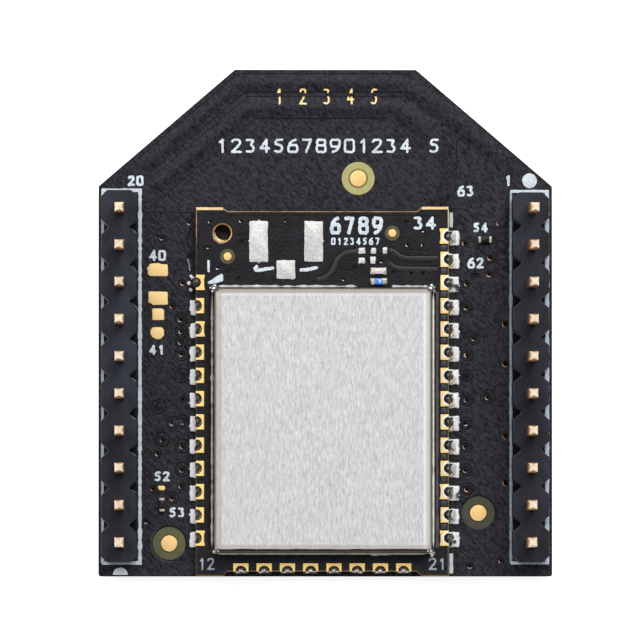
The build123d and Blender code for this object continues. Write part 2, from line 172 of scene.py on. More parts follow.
def arcLine(radius, start, stop, count):
    # Points of an arc about the origin, its ends given in degrees
    angle = np.radians(np.linspace(start, stop, count))
    return np.stack([np.cos(angle), np.sin(angle)], 1) * radius


def roundCorners(corners, radius, steps=5):
    # Each corner of a counter-clockwise outline becomes an arc tangent to its two sides
    corners = np.asarray(corners, float)
    pieces = []
    for before, corner, after in zip(np.roll(corners, 1, 0), corners, np.roll(corners, -1, 0)):
        toBefore = (before - corner) / np.linalg.norm(before - corner)
        toAfter = (after - corner) / np.linalg.norm(after - corner)
        half = math.acos(np.clip(toBefore @ toAfter, -1, 1)) / 2
        sides = [np.linalg.norm(before - corner), np.linalg.norm(after - corner)]
        reach = min(radius / math.tan(half), 0.45 * min(sides))
        share = np.linspace(0, 1, steps)[:, None]
        start = corner + toBefore * reach
        end = corner + toAfter * reach
        pieces.append((1 - share) ** 2 * start + 2 * share * (1 - share) * corner + share ** 2 * end)
    return np.concatenate(pieces)


def boxRing(width, length, radius):
    # A rectangle about the origin with rounded corners
    x, y = width / 2, length / 2
    return roundCorners([(-x, -y), (x, -y), (x, y), (-x, y)], radius, 4)


def circleRing(radius, count):
    # Points evenly spaced round a circle, counter-clockwise
    angle = np.arange(count) * 2 * math.pi / count
    return np.stack([np.cos(angle), np.sin(angle)], 1) * radius


def inset(ring, distance):
    # A closed outline moved inwards
    return ring - sideways(ring, True) * distance


def lift(ring, z):
    # Points in plan are given a height
    return np.column_stack([ring, np.broadcast_to(z, len(ring))])


def plate(ring, low, high, edge=0.02):
    # A flat plate from an outline, its upper rim rounded by three small steps
    steps = [(0, low), (0, high - edge), (0.3 * edge, high - 0.3 * edge), (edge, high)]
    return stackRings(np.stack([lift(inset(ring, shrink), z) for shrink, z in steps]))


def raggedPlate(ring, low, high, edge=0.015, rag=0.02, step=0.08):
    # A plate whose outline wanders in and out by smooth noise
    even = resample(ring, step, closed=True)
    wander = smoothNoise(len(even), 1, rag, closed=True)[:, None]
    return plate(even + sideways(even, True) * wander, low, high, edge)


def ridge(half, crest, low, high):
    # A four-point cross-section: a flat top between two slopes
    return [(-half, low), (-crest, high), (crest, high), (half, low)]


def ribbon(path, profile, step=0.15, wander=0.0, taper=0.0, base=0.0):
    # A cross-section of (offset to the right, height) points carried along a path in plan; its width
    # wanders by smooth noise and narrows over a share of the length at both ends
    path = resample(path, step)
    right = sideways(path, False)
    profile = np.asarray(profile, float)
    width = 1 + smoothNoise(len(path), 1, wander)
    if taper:
        share = np.linspace(0, 1, len(path))
        width = width * np.clip(np.minimum(share, 1 - share) / taper, 0.05, 1)
    offset = profile[None, :, 0] * width[:, None]
    x = path[:, None, 0] + right[:, None, 0] * offset
    y = path[:, None, 1] + right[:, None, 1] * offset
    return stackRings(np.stack([x, y, np.broadcast_to(base + profile[:, 1], x.shape)], -1))


def stroke(path, width, low, high, wander=0.06):
    # A printed line: a flat-topped ribbon with small slopes and uneven sides
    return ribbon(path, ridge(width / 2, width / 2 - 0.012, low, high), step=0.07, wander=wander)


def turned(profile, count=24, closed=False):
    # A profile of (radius, height) points turned about Z, capped at both ends or closed on itself
    profile = np.asarray(profile, float)
    circle = circleRing(1.0, count)
    height = np.broadcast_to(profile[:, 1:], (len(profile), count))
    rings = np.stack([profile[:, :1] * circle[:, 0], profile[:, :1] * circle[:, 1], height], -1)
    return stackRings(rings, closed)


def annulus(inner, outer, low, high, edge=0.01, count=32):
    # A flat ring: a six-point section with small slopes, turned about Z
    profile = [(outer, low), (outer, high - edge), (outer - edge, high), (inner + edge, high),
               (inner, high - edge), (inner, low)]
    return turned(profile, count, closed=True)


def newPiece(name, shape, material, nodes=(), sharp=35):
    # A shape or a list of shapes becomes one mesh at the origin, in metres, riding on the only body
    points, faces, caps = joinShapes(shape) if isinstance(shape, list) else shape
    caps = [np.asarray(cap, int) for cap in caps]
    loops = np.concatenate([faces.ravel()] + caps).astype(np.int32)
    counts = np.concatenate([np.full(len(faces), 4), [len(cap) for cap in caps]]).astype(np.int32)
    starts = np.concatenate([[0], np.cumsum(counts)[:-1]]).astype(np.int32)
    mesh = bpy.data.meshes.new(name)
    mesh.vertices.add(len(points))
    mesh.vertices.foreach_set("co", (points * mm).astype(np.float32).ravel())
    mesh.loops.add(len(loops))
    mesh.loops.foreach_set("vertex_index", loops)
    mesh.polygons.add(len(counts))
    mesh.polygons.foreach_set("loop_start", starts)
    mesh.update(calc_edges=True)
    mesh.validate()
    return placeMesh(name, mesh, material, nodes, sharp)


def placeMesh(name, mesh, material, nodes=(), sharp=35):
    # Smooth shading broken at edges sharper than the angle; the finish is set and the replaced nodes are
    # hidden
    mesh.shade_smooth()
    mesh.set_sharp_from_angle(angle=math.radians(sharp))
    mesh.materials.clear()
    mesh.materials.append(material)
    piece = bpy.data.objects.new(name, mesh)
    scene.collection.objects.link(piece)
    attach(piece, "root")
    if nodes:
        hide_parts(*nodes)
    return piece


def cutPlate(name, rings, low, high, material, nodes=(), edge=0.0):
    # A filled flat curve: the first ring is the outline, the others are holes through it
    curve = bpy.data.curves.new(name + "Curve", "CURVE")
    curve.dimensions = "2D"
    curve.fill_mode = "BOTH"
    curve.extrude = ((high - low) / 2 - edge) * mm
    curve.bevel_depth = edge * mm
    curve.bevel_resolution = 2
    curve.offset = -edge * mm
    for ring in rings:
        spline = curve.splines.new("POLY")
        spline.points.add(len(ring) - 1)
        flat = np.column_stack([ring * mm, np.zeros(len(ring)), np.ones(len(ring))])
        spline.points.foreach_set("co", flat.ravel())
        spline.use_cyclic_u = True
    source = bpy.data.objects.new(name + "Source", curve)
    scene.collection.objects.link(source)
    bpy.context.view_layer.update()
    mesh = bpy.data.meshes.new_from_object(source.evaluated_get(bpy.context.evaluated_depsgraph_get()))
    bpy.data.objects.remove(source)
    bpy.data.curves.remove(curve)
    places = np.zeros(len(mesh.vertices) * 3, np.float32)
    mesh.vertices.foreach_get("co", places)
    places = places.reshape(-1, 3)
    places[:, 2] += (low + high) / 2 * mm
    mesh.vertices.foreach_set("co", places.ravel())
    mesh.name = name
    return placeMesh(name, mesh, material, nodes)


# Finishes

def addNode(tree, kind, inputs=(), **settings):
    # One shader node with its settings, then the constants on its own sockets
    node = tree.nodes.new("ShaderNode" + kind)
    for name, value in settings.items():
        setattr(node, name, value)
    for name, value in dict(inputs).items():
        node.inputs[name].default_value = value
    return node


def wire(tree, *links):
    # Each link names a node and its output, then a node and its input
    for source, output, target, place in links:
        tree.links.new(source.outputs[output], target.inputs[place])


def grainGroup():
    # Broad patches and fine grain from two noises on stretched object coordinates; both raise the
    # surface, and both are drawn out to run from 0 to 1
    group = bpy.data.node_groups.new("surfaceGrain", "ShaderNodeTree")
    numbers = {"Patch Scale": 400.0, "Grain Scale": 6000.0, "Grain Height": 0.2, "Patch Height": 0.0}
    vectors = {"Stretch": (1.0, 1.0, 1.0), "Turn": (0.0, 0.0, 0.0)}
    for kind, values in (("NodeSocketFloat", numbers), ("NodeSocketVector", vectors)):
        for label, value in values.items():
            socket = group.interface.new_socket(label, in_out="INPUT", socket_type=kind)
            socket.default_value = value
    for label, kind in (("Patch", "NodeSocketFloat"), ("Grain", "NodeSocketFloat"),
                        ("Normal", "NodeSocketVector")):
        group.interface.new_socket(label, in_out="OUTPUT", socket_type=kind)
    start, end = group.nodes.new("NodeGroupInput"), group.nodes.new("NodeGroupOutput")
    coordinates = addNode(group, "TexCoord")
    mapping = addNode(group, "Mapping", vector_type="TEXTURE")
    patch = addNode(group, "TexNoise", {"Detail": 4.0})
    grain = addNode(group, "TexNoise", {"Detail": 3.0, "Roughness": 0.6})
    broad, fine = (addNode(group, "MapRange", {"From Min": 0.3, "From Max": 0.7}) for _ in range(2))
    patchHeight = addNode(group, "Math", operation="MULTIPLY")
    grainHeight = addNode(group, "Math", operation="MULTIPLY_ADD")
    bump = addNode(group, "Bump", {"Distance": 0.00003})
    wire(group, (coordinates, "Object", mapping, "Vector"), (start, "Stretch", mapping, "Scale"),
         (start, "Turn", mapping, "Rotation"), (mapping, "Vector", patch, "Vector"),
         (mapping, "Vector", grain, "Vector"), (start, "Patch Scale", patch, "Scale"),
         (start, "Grain Scale", grain, "Scale"), (patch, "Fac", broad, "Value"), (grain, "Fac", fine, "Value"),
         (patch, "Fac", patchHeight, 0), (start, "Patch Height", patchHeight, 1),
         (grain, "Fac", grainHeight, 0), (start, "Grain Height", grainHeight, 1),
         (patchHeight, 0, grainHeight, 2), (grainHeight, 0, bump, "Height"),
         (broad, "Result", end, "Patch"), (fine, "Result", end, "Grain"), (bump, "Normal", end, "Normal"))
    return group


surfaceGrain = grainGroup()


def finish(name, dark, light, rough=(0.4, 0.6), metallic=0.0, patch=2500, grain=9000, bump=0.3, swell=0.0,
           share=0.5, stretch=(1.0, 1.0, 1.0), turn=0.0, coat=0.0, specular=0.5):
    # Colour runs from dark to light by patches and grain, mixed by the grain's share, and roughness
    # follows the patches. Patch and grain are scales, bump and swell the heights of grain and patches
    material = bpy.data.materials.new(name)
    material.use_nodes = True
    tree = material.node_tree
    shader = tree.nodes["Principled BSDF"]
    texture = addNode(tree, "Group", node_tree=surfaceGrain)
    values = {"Patch Scale": patch, "Grain Scale": grain, "Grain Height": bump, "Patch Height": swell,
              "Stretch": [1 / reach for reach in stretch], "Turn": (0.0, 0.0, math.radians(turn))}
    for label, value in values.items():
        texture.inputs[label].default_value = value
    both = addNode(tree, "Mix", {"Factor": share})
    colour = addNode(tree, "Mix", {"A": (*dark, 1.0), "B": (*light, 1.0)}, data_type="RGBA")
    roughness = addNode(tree, "MapRange", {"To Min": rough[0], "To Max": rough[1]})
    wire(tree, (texture, "Patch", both, "A"), (texture, "Grain", both, "B"),
         (both, "Result", colour, "Factor"), (colour, "Result", shader, "Base Color"),
         (texture, "Patch", roughness, "Value"), (roughness, "Result", shader, "Roughness"),
         (texture, "Normal", shader, "Normal"))
    for label, value in (("Metallic", metallic), ("Coat Weight", coat), ("Specular IOR Level", specular)):
        shader.inputs[label].default_value = value
    return material


boardMask = finish("boardMask", (0.0003, 0.0003, 0.001), (0.036, 0.035, 0.047), (0.36, 0.50), patch=420,
                   grain=7600, bump=2.7, swell=0.3, share=0.9, stretch=(1.0, 0.45, 1.0), turn=36,
                   specular=0.14)
radioMask = finish("radioMask", (0.0005, 0.0005, 0.001), (0.020, 0.019, 0.024), (0.38, 0.5), patch=1100,
                   grain=8000, bump=1.3, swell=1.2, share=0.6, specular=0.14)
# Lacquer for patches along the radio board's right edge; also laid as painted highlight arcs round vias
edgeLacquerAndHighlight = finish("edgeLacquerAndHighlight", (0.030, 0.026, 0.036), (0.060, 0.052, 0.070), (0.4, 0.5), patch=1500,
                     grain=8000, bump=0.5, specular=0.3)
# A lighter lacquer laid as painted highlight
highlightLacquer = finish("highlightLacquer", (0.045, 0.043, 0.05), (0.10, 0.10, 0.12), (0.35, 0.5), patch=1500,
                     grain=8000, bump=0.5, share=0.3, specular=0.3)
# Near-black lacquer over bare gaps in the copper; also laid as painted shade and shadow
gapAndShadeLacquer = finish("gapAndShadeLacquer", (0.0015, 0.0015, 0.002), (0.004, 0.004, 0.005), (0.5, 0.6), patch=400,
                    grain=6000, specular=0.15)
trackLacquer = finish("trackLacquer", (0.012, 0.009, 0.010), (0.036, 0.028, 0.029), (0.4, 0.5), patch=400,
                      grain=5000, specular=0.3)
laminate = finish("laminate", (0.07, 0.045, 0.014), (0.24, 0.155, 0.05), (0.5, 0.7), patch=900, grain=7000,
                  bump=0.4, stretch=(1.0, 1.0, 5.0), specular=0.3)
laminateDim = finish("laminateDim", (0.02, 0.014, 0.005), (0.085, 0.06, 0.022), (0.5, 0.7), patch=900,
                     grain=7000, bump=0.4, stretch=(1.0, 1.0, 5.0), specular=0.2)
laminateGold = finish("laminateGold", (0.16, 0.095, 0.03), (0.46, 0.30, 0.11), (0.45, 0.6), patch=500,
                      grain=7000, bump=0.5, stretch=(1.0, 1.0, 5.0))
laminateEdge = finish("laminateEdge", (0.62, 0.38, 0.12), (0.95, 0.76, 0.42), (0.45, 0.6), patch=1200,
                      grain=7000, bump=0.5, stretch=(1.0, 1.0, 5.0))
laminateDark = finish("laminateDark", (0.004, 0.0035, 0.004), (0.014, 0.012, 0.011), (0.55, 0.75), patch=900,
                      bump=0.5, stretch=(1.0, 1.0, 6.0), specular=0.2)
oliveRing = finish("oliveRing", (0.055, 0.058, 0.016), (0.105, 0.108, 0.032), (0.45, 0.6))
paleOliveRing = finish("paleOliveRing", (0.32, 0.30, 0.10), (0.45, 0.43, 0.17), (0.45, 0.6))
brownRing = finish("brownRing", (0.10, 0.075, 0.02), (0.22, 0.17, 0.055), (0.45, 0.6))
smallRing = finish("smallRing", (0.032, 0.026, 0.006), (0.10, 0.085, 0.02), (0.4, 0.55), grain=7000)
darkOliveRing = finish("darkOliveRing", (0.022, 0.022, 0.008), (0.046, 0.046, 0.017), (0.45, 0.6))
goldLand = finish("goldLand", (0.99, 0.62, 0.235), (1.0, 0.76, 0.36), (0.5, 0.65), metallic=0.05, patch=1500,
                  bump=0.5, share=0.7)
contactGold = finish("contactGold", (0.96, 0.605, 0.18), (1.0, 0.765, 0.29), (0.5, 0.65), metallic=0.05,
                     patch=1500, bump=0.5, share=0.7)
goldDisc = finish("goldDisc", (0.82, 0.50, 0.165), (0.93, 0.64, 0.26), (0.5, 0.65), metallic=0.1, patch=900,
                  grain=7000, bump=0.4, share=0.4)
goldPin = finish("goldPin", (0.72, 0.54, 0.36), (0.89, 0.80, 0.66), (0.28, 0.42), metallic=0.3, grain=7000,
                 bump=0.5, share=0.4, stretch=(1.0, 1.0, 0.3))
goldBarrel = finish("goldBarrel", (0.35, 0.17, 0.05), (0.75, 0.45, 0.15), (0.3, 0.5), metallic=0.9, bump=0.5)
# Cream gold for painted highlights: the plated hole's lit wall and the crescents and bars on solder balls
goldCream = finish("goldCream", (0.70, 0.52, 0.30), (1.0, 0.88, 0.66), (0.3, 0.45), metallic=0.3, patch=3500,
                   bump=0.4, swell=0.6)
copperGlint = finish("copperGlint", (0.10, 0.045, 0.03), (0.80, 0.58, 0.52), (0.35, 0.5), metallic=0.2,
                     patch=1800, grain=7000, bump=0.4, share=0.3)
# Copper darkened almost to black: painted shade inside the via bores
copperBarrelShade = finish("copperBarrelShade", (0.012, 0.006, 0.004), (0.10, 0.045, 0.032), (0.3, 0.5), metallic=0.7,
                      patch=4000, bump=0.5)
headerPlastic = finish("headerPlastic", (0.0025, 0.0035, 0.0070), (0.018, 0.021, 0.036), (0.34, 0.46),
                       patch=380, grain=3600, swell=0.6, share=0.35, stretch=(1.3, 0.4, 1.0), specular=0.33)
solderWhite = finish("solderWhite", (0.60, 0.60, 0.61), (1.0, 1.0, 1.0), (0.4, 0.6), metallic=0.15, patch=3500,
                     bump=0.6, swell=1.0, share=0.4)
# Silver solder; also laid as painted glints on the radio board's vias
silverSolderAndGlint = finish("silverSolderAndGlint", (0.76, 0.76, 0.84), (1.0, 1.0, 1.0), (0.5, 0.65), patch=3500, bump=0.6,
                      swell=1.0)
solderDome = finish("solderDome", (0.62, 0.62, 0.60), (1.0, 1.0, 1.0), (0.3, 0.42), metallic=0.15, patch=2600,
                    bump=0.2, swell=0.4, share=0.15)
# Near-black: painted shade in the rings round the solder at the half-holes
nearBlackFinish = finish("nearBlackFinish", (0.005, 0.0035, 0.0025), (0.022, 0.015, 0.010), (0.35, 0.5), patch=4000,
                  specular=0.3)
oliveGlint = finish("oliveGlint", (0.04, 0.04, 0.028), (0.30, 0.30, 0.24), (0.3, 0.45), patch=3500, share=0.3)
solderOlive = finish("solderOlive", (0.012, 0.009, 0.006), (0.075, 0.06, 0.042), (0.3, 0.45), metallic=0.25,
                     patch=4000, swell=0.8, share=0.3)
# Painted shade: a dark brown band laid over the can's lower fold
foldShade = finish("foldShade", (0.018, 0.010, 0.007), (0.055, 0.036, 0.027), (0.3, 0.45), metallic=0.3,
                   patch=900, grain=7000, stretch=(0.2, 1.0, 1.0), specular=0.3)
# Bright solder; also laid as a painted glint outside the plated hole
brightSolderAndGlint = finish("brightSolderAndGlint", (0.40, 0.39, 0.37), (0.88, 0.87, 0.84), (0.14, 0.28), metallic=0.9,
                      patch=4000, swell=0.8, share=0.3)
footBead = finish("footBead", (0.62, 0.56, 0.47), (1.0, 0.95, 0.85), (0.35, 0.5), patch=1600, grain=7000,
                  share=0.25)
solderGrey = finish("solderGrey", (0.10, 0.085, 0.085), (0.58, 0.55, 0.57), (0.15, 0.3), metallic=0.7,
                    patch=5000, bump=0.2, swell=0.9, share=0.2)
solderDark = finish("solderDark", (0.040, 0.036, 0.026), (0.30, 0.29, 0.26), (0.12, 0.28), metallic=0.8,
                    patch=5000, bump=0.2, swell=0.8, share=0.2)
tinnedLand = finish("tinnedLand", (0.47, 0.47, 0.455), (0.73, 0.725, 0.705), (0.4, 0.55), metallic=0.2,
                    patch=2000, grain=8000, bump=0.7, swell=0.4, share=0.6)
silkPrint = finish("silkPrint", (0.40, 0.46, 0.50), (0.80, 0.87, 0.93), (0.6, 0.75), grain=7000, bump=0.6)
# White print, made whiter than the other print as painted light for the half dot in the strip's shadow
silkBright = finish("silkBright", (0.82, 0.86, 0.88), (1.0, 1.0, 1.0), (0.6, 0.75), grain=7000, bump=0.6)
# Dim print; also laid as painted glint hair lines by the notches
dimPrintAndGlint = finish("dimPrintAndGlint", (0.13, 0.17, 0.20), (0.42, 0.50, 0.58), (0.55, 0.7), patch=1500, grain=7000,
                 bump=0.6, share=0.4)
paleCeramic = finish("paleCeramic", (0.50, 0.48, 0.44), (0.80, 0.79, 0.76), (0.35, 0.5), patch=3000, coat=0.2)
blueCeramic = finish("blueCeramic", (0.005, 0.14, 0.75), (0.02, 0.28, 1.0), (0.2, 0.35), patch=3000, bump=0.2,
                     coat=0.3)
blackCeramic = finish("blackCeramic", (0.004, 0.004, 0.005), (0.012, 0.012, 0.013), (0.4, 0.55), patch=3000,
                      specular=0.25)
creamCap = finish("creamCap", (0.30, 0.20, 0.10), (0.92, 0.86, 0.72), (0.3, 0.5), metallic=0.3, patch=4500,
                  bump=0.5, swell=0.8, share=0.3)
blackEpoxy = finish("blackEpoxy", (0.008, 0.008, 0.009), (0.018, 0.018, 0.02), (0.5, 0.65), patch=900,
                    grain=7000, bump=0.5)
innerMetal = finish("innerMetal", (0.45, 0.45, 0.44), (0.72, 0.72, 0.70), (0.3, 0.45), metallic=1.0, patch=900,
                    grain=7000)


def tinSheet():
    # Tin plate: fine streaks along Y and rare specks over a pale grey; a painted highlight line and a band of
    # painted beige shade run along each side of the can, and painted shade darkens the far side over its bend
    material = finish("tinSheet", (0.435, 0.435, 0.45), (0.76, 0.76, 0.76), (0.38, 0.44), metallic=0.6,
                      patch=9500, grain=18000, bump=0.35, share=0.6, stretch=(1.0, 0.2, 1.0))
    tree = material.node_tree
    shader = tree.nodes["Principled BSDF"]
    coordinates = addNode(tree, "TexCoord")
    parts = addNode(tree, "SeparateXYZ")
    specks = addNode(tree, "TexNoise", {"Scale": 2600, "Detail": 2.0})
    wire(tree, (coordinates, "Object", parts, "Vector"), (coordinates, "Object", specks, "Vector"))
    low, high = shieldLow, shieldHigh
    # Colours of the painted beige shade and the painted highlight on the bends
    beige, bright = (0.43, 0.395, 0.34), (0.80, 0.80, 0.78)
    # Each rim: its axis and edge, the way inwards, the start of the painted highlight line and of the painted
    # beige shade band, and their shares
    rims = [("X", low[0], 1, 0.60, 0.44, 0.70, 0.0), ("X", high[0], -1, 0.43, 0.32, 0.55, 0.8),
            ("Y", high[1], -1, 0.40, 0.34, 0.80, 0.3), ("Y", low[1], 1, 0.52, 0.44, 0.45, 0.1)]
    tints = [(specks, "Fac", 0.70, 0.78, 0.45, (0.30, 0.29, 0.27))]
    for axis, edge, inward, outer, inner, most, shine in rims:
        start, end = edge + inward * (outer + 0.04), edge + inward * outer
        tints.append((parts, axis, start * mm, end * mm, shine, bright))
    for axis, edge, inward, outer, inner, most, shine in rims:
        start, end = edge + inward * inner, edge + inward * (inner - 0.05)
        tints.append((parts, axis, start * mm, end * mm, most, beige))
    # Painted shade darkens the far side over its bend
    tints.append((parts, "Y", (high[1] - 0.30) * mm, (high[1] - 0.04) * mm, 0.85, (0.11, 0.10, 0.08)))
    # The share of each tint grows from none to the most between two places, or two values of the specks' noise
    for source, output, start, end, most, tint in tints:
        colour = shader.inputs["Base Color"].links[0].from_socket
        mask = addNode(tree, "MapRange", {"From Min": start, "From Max": end, "To Max": most})
        mix = addNode(tree, "Mix", {"B": (*tint, 1.0)}, data_type="RGBA")
        tree.links.new(colour, mix.inputs["A"])
        wire(tree, (source, output, mask, "Value"), (mask, "Result", mix, "Factor"),
             (mix, "Result", shader, "Base Color"))
    return material


shieldTin = tinSheet()
print("finishes made")


def tintByHeight(material, tint, low, high):
    # The colour is multiplied by a tint below one height and left alone above the other
    tree = material.node_tree
    shader = tree.nodes["Principled BSDF"]
    coordinates = addNode(tree, "TexCoord")
    parts = addNode(tree, "SeparateXYZ")
    span = {"From Min": low * mm, "From Max": high * mm, "To Min": 1.0, "To Max": 0.0}
    share = addNode(tree, "MapRange", span)
    multiply = addNode(tree, "Mix", {"B": (*tint, 1.0)}, data_type="RGBA", blend_type="MULTIPLY")
    tree.links.new(shader.inputs["Base Color"].links[0].from_socket, multiply.inputs["A"])
    wire(tree, (coordinates, "Object", parts, "Vector"), (parts, "Z", share, "Value"),
         (share, "Result", multiply, "Factor"), (multiply, "Result", shader, "Base Color"))


# Painted shade on the pins: their sides are tinted orange just under the tip and dark brown further down
tintByHeight(goldPin, (0.86, 0.56, 0.30), pinHigh[2] - 0.17, pinHigh[2] - 0.03)
tintByHeight(goldPin, (0.31, 0.20, 0.11), pinHigh[2] - 1.4, pinHigh[2] - 0.16)


# Carrier board: a dark laminate core between two lacquer films, with open vias on the pin side

board = {"film": 0.02, "filmInset": 0.03, "overhang": 0.025, "cornerRadius": 0.12, "noseHalf": 4.875,
         "noseCut": 6.27, "viaRadius": 0.10, "largeRadius": 0.19, "wall": 0.02}
leftVias = [(161.5, 238), (189, 222.5), (190.5, 256), (182.5, 283), (172, 306), (183, 399), (157.5, 454),
            (181, 486.5), (152.5, 489), (146, 521.5)]
leftRaised = [(180.5, 319.5), (181, 331.5), (180.5, 342.5), (172, 423), (182.5, 422), (172, 498)]
leftWide = [(181.5, 354), (181.5, 376), (158.5, 407), (162, 440), (182.5, 446.5), (182, 470)]
rightVias = [(498.9, 223.1), (464.9, 243.4), (490.2, 257.5), (474.8, 274), (489.3, 274), (466.5, 283.6),
             (470, 565.8), (500.8, 561)]
rightRaised = [(466.1, 307.4), (473.6, 338.5), (467, 355.1), (466.1, 376.2), (466.5, 399.9), (465.4, 423.6),
               (465.4, 446.6), (465.4, 470.2), (467.1, 489.1)]
rightDouble = [(487.7, 397.4)]
rightLarge = [(505.5, 216.4), (505.5, 324), (505.5, 363.8), (505.5, 436), (505.5, 483)]
plainVias = spots(leftVias + rightVias, carrierTop)
raisedVias = spots(leftRaised + rightRaised, carrierTop)
wideVias = spots(leftWide + rightDouble, carrierTop)
doubleVia = spots(rightDouble, carrierTop)
largeVias = spots(rightLarge, carrierTop)
smallVias = np.concatenate([plainVias, raisedVias, wideVias])


def carrierCorners():
    # The six corners of the board, counter-clockwise from the lower right
    low, high = carrierLow, carrierHigh
    shoulder, nose = high[1] - board["noseCut"], board["noseHalf"]
    return np.array([(high[0], low[1]), (high[0], shoulder), (nose, high[1]),
                     (-nose, high[1]), (low[0], shoulder), (low[0], low[1])])


def makeCarrier():
    # The outline with every via cut through it, between two lacquer films set in a little
    ring = roundCorners(np.roll(carrierCorners(), 1, 0), board["cornerRadius"])
    outline = inset(ring, -board["overhang"])
    holes = [circleRing(board["viaRadius"], 14) + via for via in smallVias]
    holes += [circleRing(board["largeRadius"], 18) + via for via in largeVias]
    inner = inset(outline, board["filmInset"])
    coreTop = carrierTop - board["film"]
    coreLow = carrierBack + board["film"]
    cutPlate("carrierCore", [outline] + holes, coreLow, coreTop, laminateDark, nodes=["carrier_board"])
    cutPlate("carrierFilmTop", [inner] + holes, coreTop, carrierTop, boardMask, edge=0.008)
    cutPlate("carrierFilmBack", [inner], carrierBack, coreLow, boardMask, edge=0.008)


def collarShape(inner, outer, start, stop, height, wobble):
    # An uneven flat-topped arc, tapering at its ends: solder round a half-hole, a target's rim, a glow
    half = (outer - inner) / 2
    path = arcLine((inner + outer) / 2, start, stop, 22)
    return ribbon(path, ridge(half, half * 0.6, -0.005, height), step=0.045, wander=wobble, taper=0.12)


def viaBarrel(radius):
    # An open copper cup: up the outside, over the lip, down inside and across its floor
    top = carrierTop - 0.004
    floor = carrierBack + board["film"] + 0.02
    inner = radius - board["wall"]
    outer = radius - 0.001
    return turned([(outer, floor), (outer, top), (inner, top), (inner, floor + 0.1), (0.02, floor + 0.08)], 16)


def viaGlint(radius, half):
    # Light caught low on the left of the barrel's mouth: a tapering arc
    profile = [(-half, -0.03), (-half * 0.6, 0.006), (half * 0.6, 0.004), (half, -0.03)]
    return ribbon(arcLine(radius, 160, 305, 12), profile, step=0.03, wander=0.2, taper=0.35)


# Each kind: its places, the ring's radius, the two radii of its painted shadow groove, the ring's rise and
# edge, the radius of its painted highlight arc
viaRings = {"hollow": 0.11, "shift": 0.02,
            "kinds": [(raisedVias, 0.315, (0.30, 0.37), 0.02, 0.03, 0.385),
                      (wideVias, 0.375, (0.36, 0.43), 0.022, 0.04, 0.445)]}


def makeVias():
    # Each via is an open cup with a glint, the small ones in a dark ring of painted shade; wider ones have a
    # raised ring, a groove of painted shadow round it set up and to the right, and a faint painted highlight
    # arc
    small, large = board["viaRadius"], board["largeRadius"]
    # The cups' copper is darkened almost to black: painted shade in the bores
    barrels = [stamp(viaBarrel(small), *smallVias.T), stamp(viaBarrel(large), *largeVias.T)]
    newPiece("viaBarrels", barrels, copperBarrelShade)
    glint = viaGlint(small + 0.025, 0.045)
    glints = [stamp(glint, x, y, carrierTop + 0.003, rng.normal(0, 20), rng.uniform(0.85, 1.15))
              for x, y in smallVias[rng.random(len(smallVias)) < 0.85]]
    glints += [stamp(viaGlint(large - 0.03, 0.03), x, y, carrierTop - 0.02, rng.normal(0, 15))
               for x, y in largeVias]
    newPiece("viaGlints", glints, copperGlint)
    # The dark rings and grooves are painted shade; the shift sets the grooves' painted shadow up and to the
    # right
    top, low, off = carrierTop, carrierTop - 0.01, viaRings["shift"]
    inner = small + viaRings["hollow"]
    grooveShades = [stamp(annulus(small, inner, low, top + 0.002, 0.002, 20), *smallVias.T)]
    raised, glows = [], []
    for places, ringOuter, (grooveInner, grooveOuter), rise, edge, glowInner in viaRings["kinds"]:
        grooveShades.append(stamp(annulus(grooveInner, grooveOuter, low, top + 0.003, 0.002, 28),
                             *(places + off).T))
        raised.append(stamp(annulus(inner, ringOuter, low, top + rise, edge, 24), *places.T))
    newPiece("viaGrooveShades", grooveShades, gapAndShadeLacquer)
    newPiece("viaRings", raised, boardMask)
    # Pale arcs on the lower left of the raised rings: painted highlight
    for places, ringOuter, _, rise, edge, glowInner in viaRings["kinds"]:
        glow = collarShape(glowInner, glowInner + 0.035, 140, 300, 0.006, 0.4)
        glows.append(stamp(glow, *(places + off).T, top))
    newPiece("viaGlows", glows, edgeLacquerAndHighlight)


makeCarrier()
makeVias()
print("carrier made")


# Copper under the lacquer: rounded swells, low tracks and thin gaps

relief = {"lineWidth": 0.055, "lineRise": 0.003, "swellHeight": 0.085, "swellStep": 0.12, "trackWidth": 0.16,
          "trackHeight": 0.025, "rimFade": 0.45}
# Swells run along these photo pixels, each with its half width there in pixels
swellLines = [
    [(144.7, 164.1, 9.5), (239, 82.5, 9.5), (400, 82.5, 9.5), (440, 106, 16), (470.4, 131, 17), (498, 154, 12),
     (504, 168, 9), (504, 222, 8)],
    [(158, 183, 11), (249, 107, 11), (392, 107, 11), (412, 117, 15), (428, 131, 19), (436, 146, 20),
     (436, 198, 19)],
]


def insideBy(x, y):
    # How far inside the carrier's sides and nose a place lies
    corners = carrierCorners()
    near = np.full(np.shape(x), 9.0)
    for start, end in zip(corners[:-1], corners[1:]):
        run = (end - start) / np.linalg.norm(end - start)
        near = np.minimum(near, run[0] * (y - start[1]) - run[1] * (x - start[0]))
    return near


def swellAt(x, y):
    # Height of the lacquer over buried copper: a squared cosine of the distance from each swell's line,
    # as wide and high as the line says, fading out at the board's rim
    height = np.zeros(np.shape(x))
    for pixels in swellLines:
        pixels = np.array(pixels)
        line = spots(pixels[:, :2], carrierTop)
        reaches = pixels[:, 2] / photo["pixelsPerMm"]
        for start, end, first, last in zip(line[:-1], line[1:], reaches[:-1], reaches[1:]):
            run = end - start
            share = np.clip(((x - start[0]) * run[0] + (y - start[1]) * run[1]) / (run @ run), 0, 1)
            near = np.hypot(x - start[0] - share * run[0], y - start[1] - share * run[1])
            reach = first + (last - first) * share
            rise = np.cos(np.clip(near / reach, 0, 1) * math.pi / 2) ** 2
            height = np.maximum(height, rise * reach * 2 * relief["swellHeight"])
    rim = np.clip((insideBy(x, y) - 0.05) / relief["rimFade"], 0, 1)
    return height * rim * rim * (3 - 2 * rim)


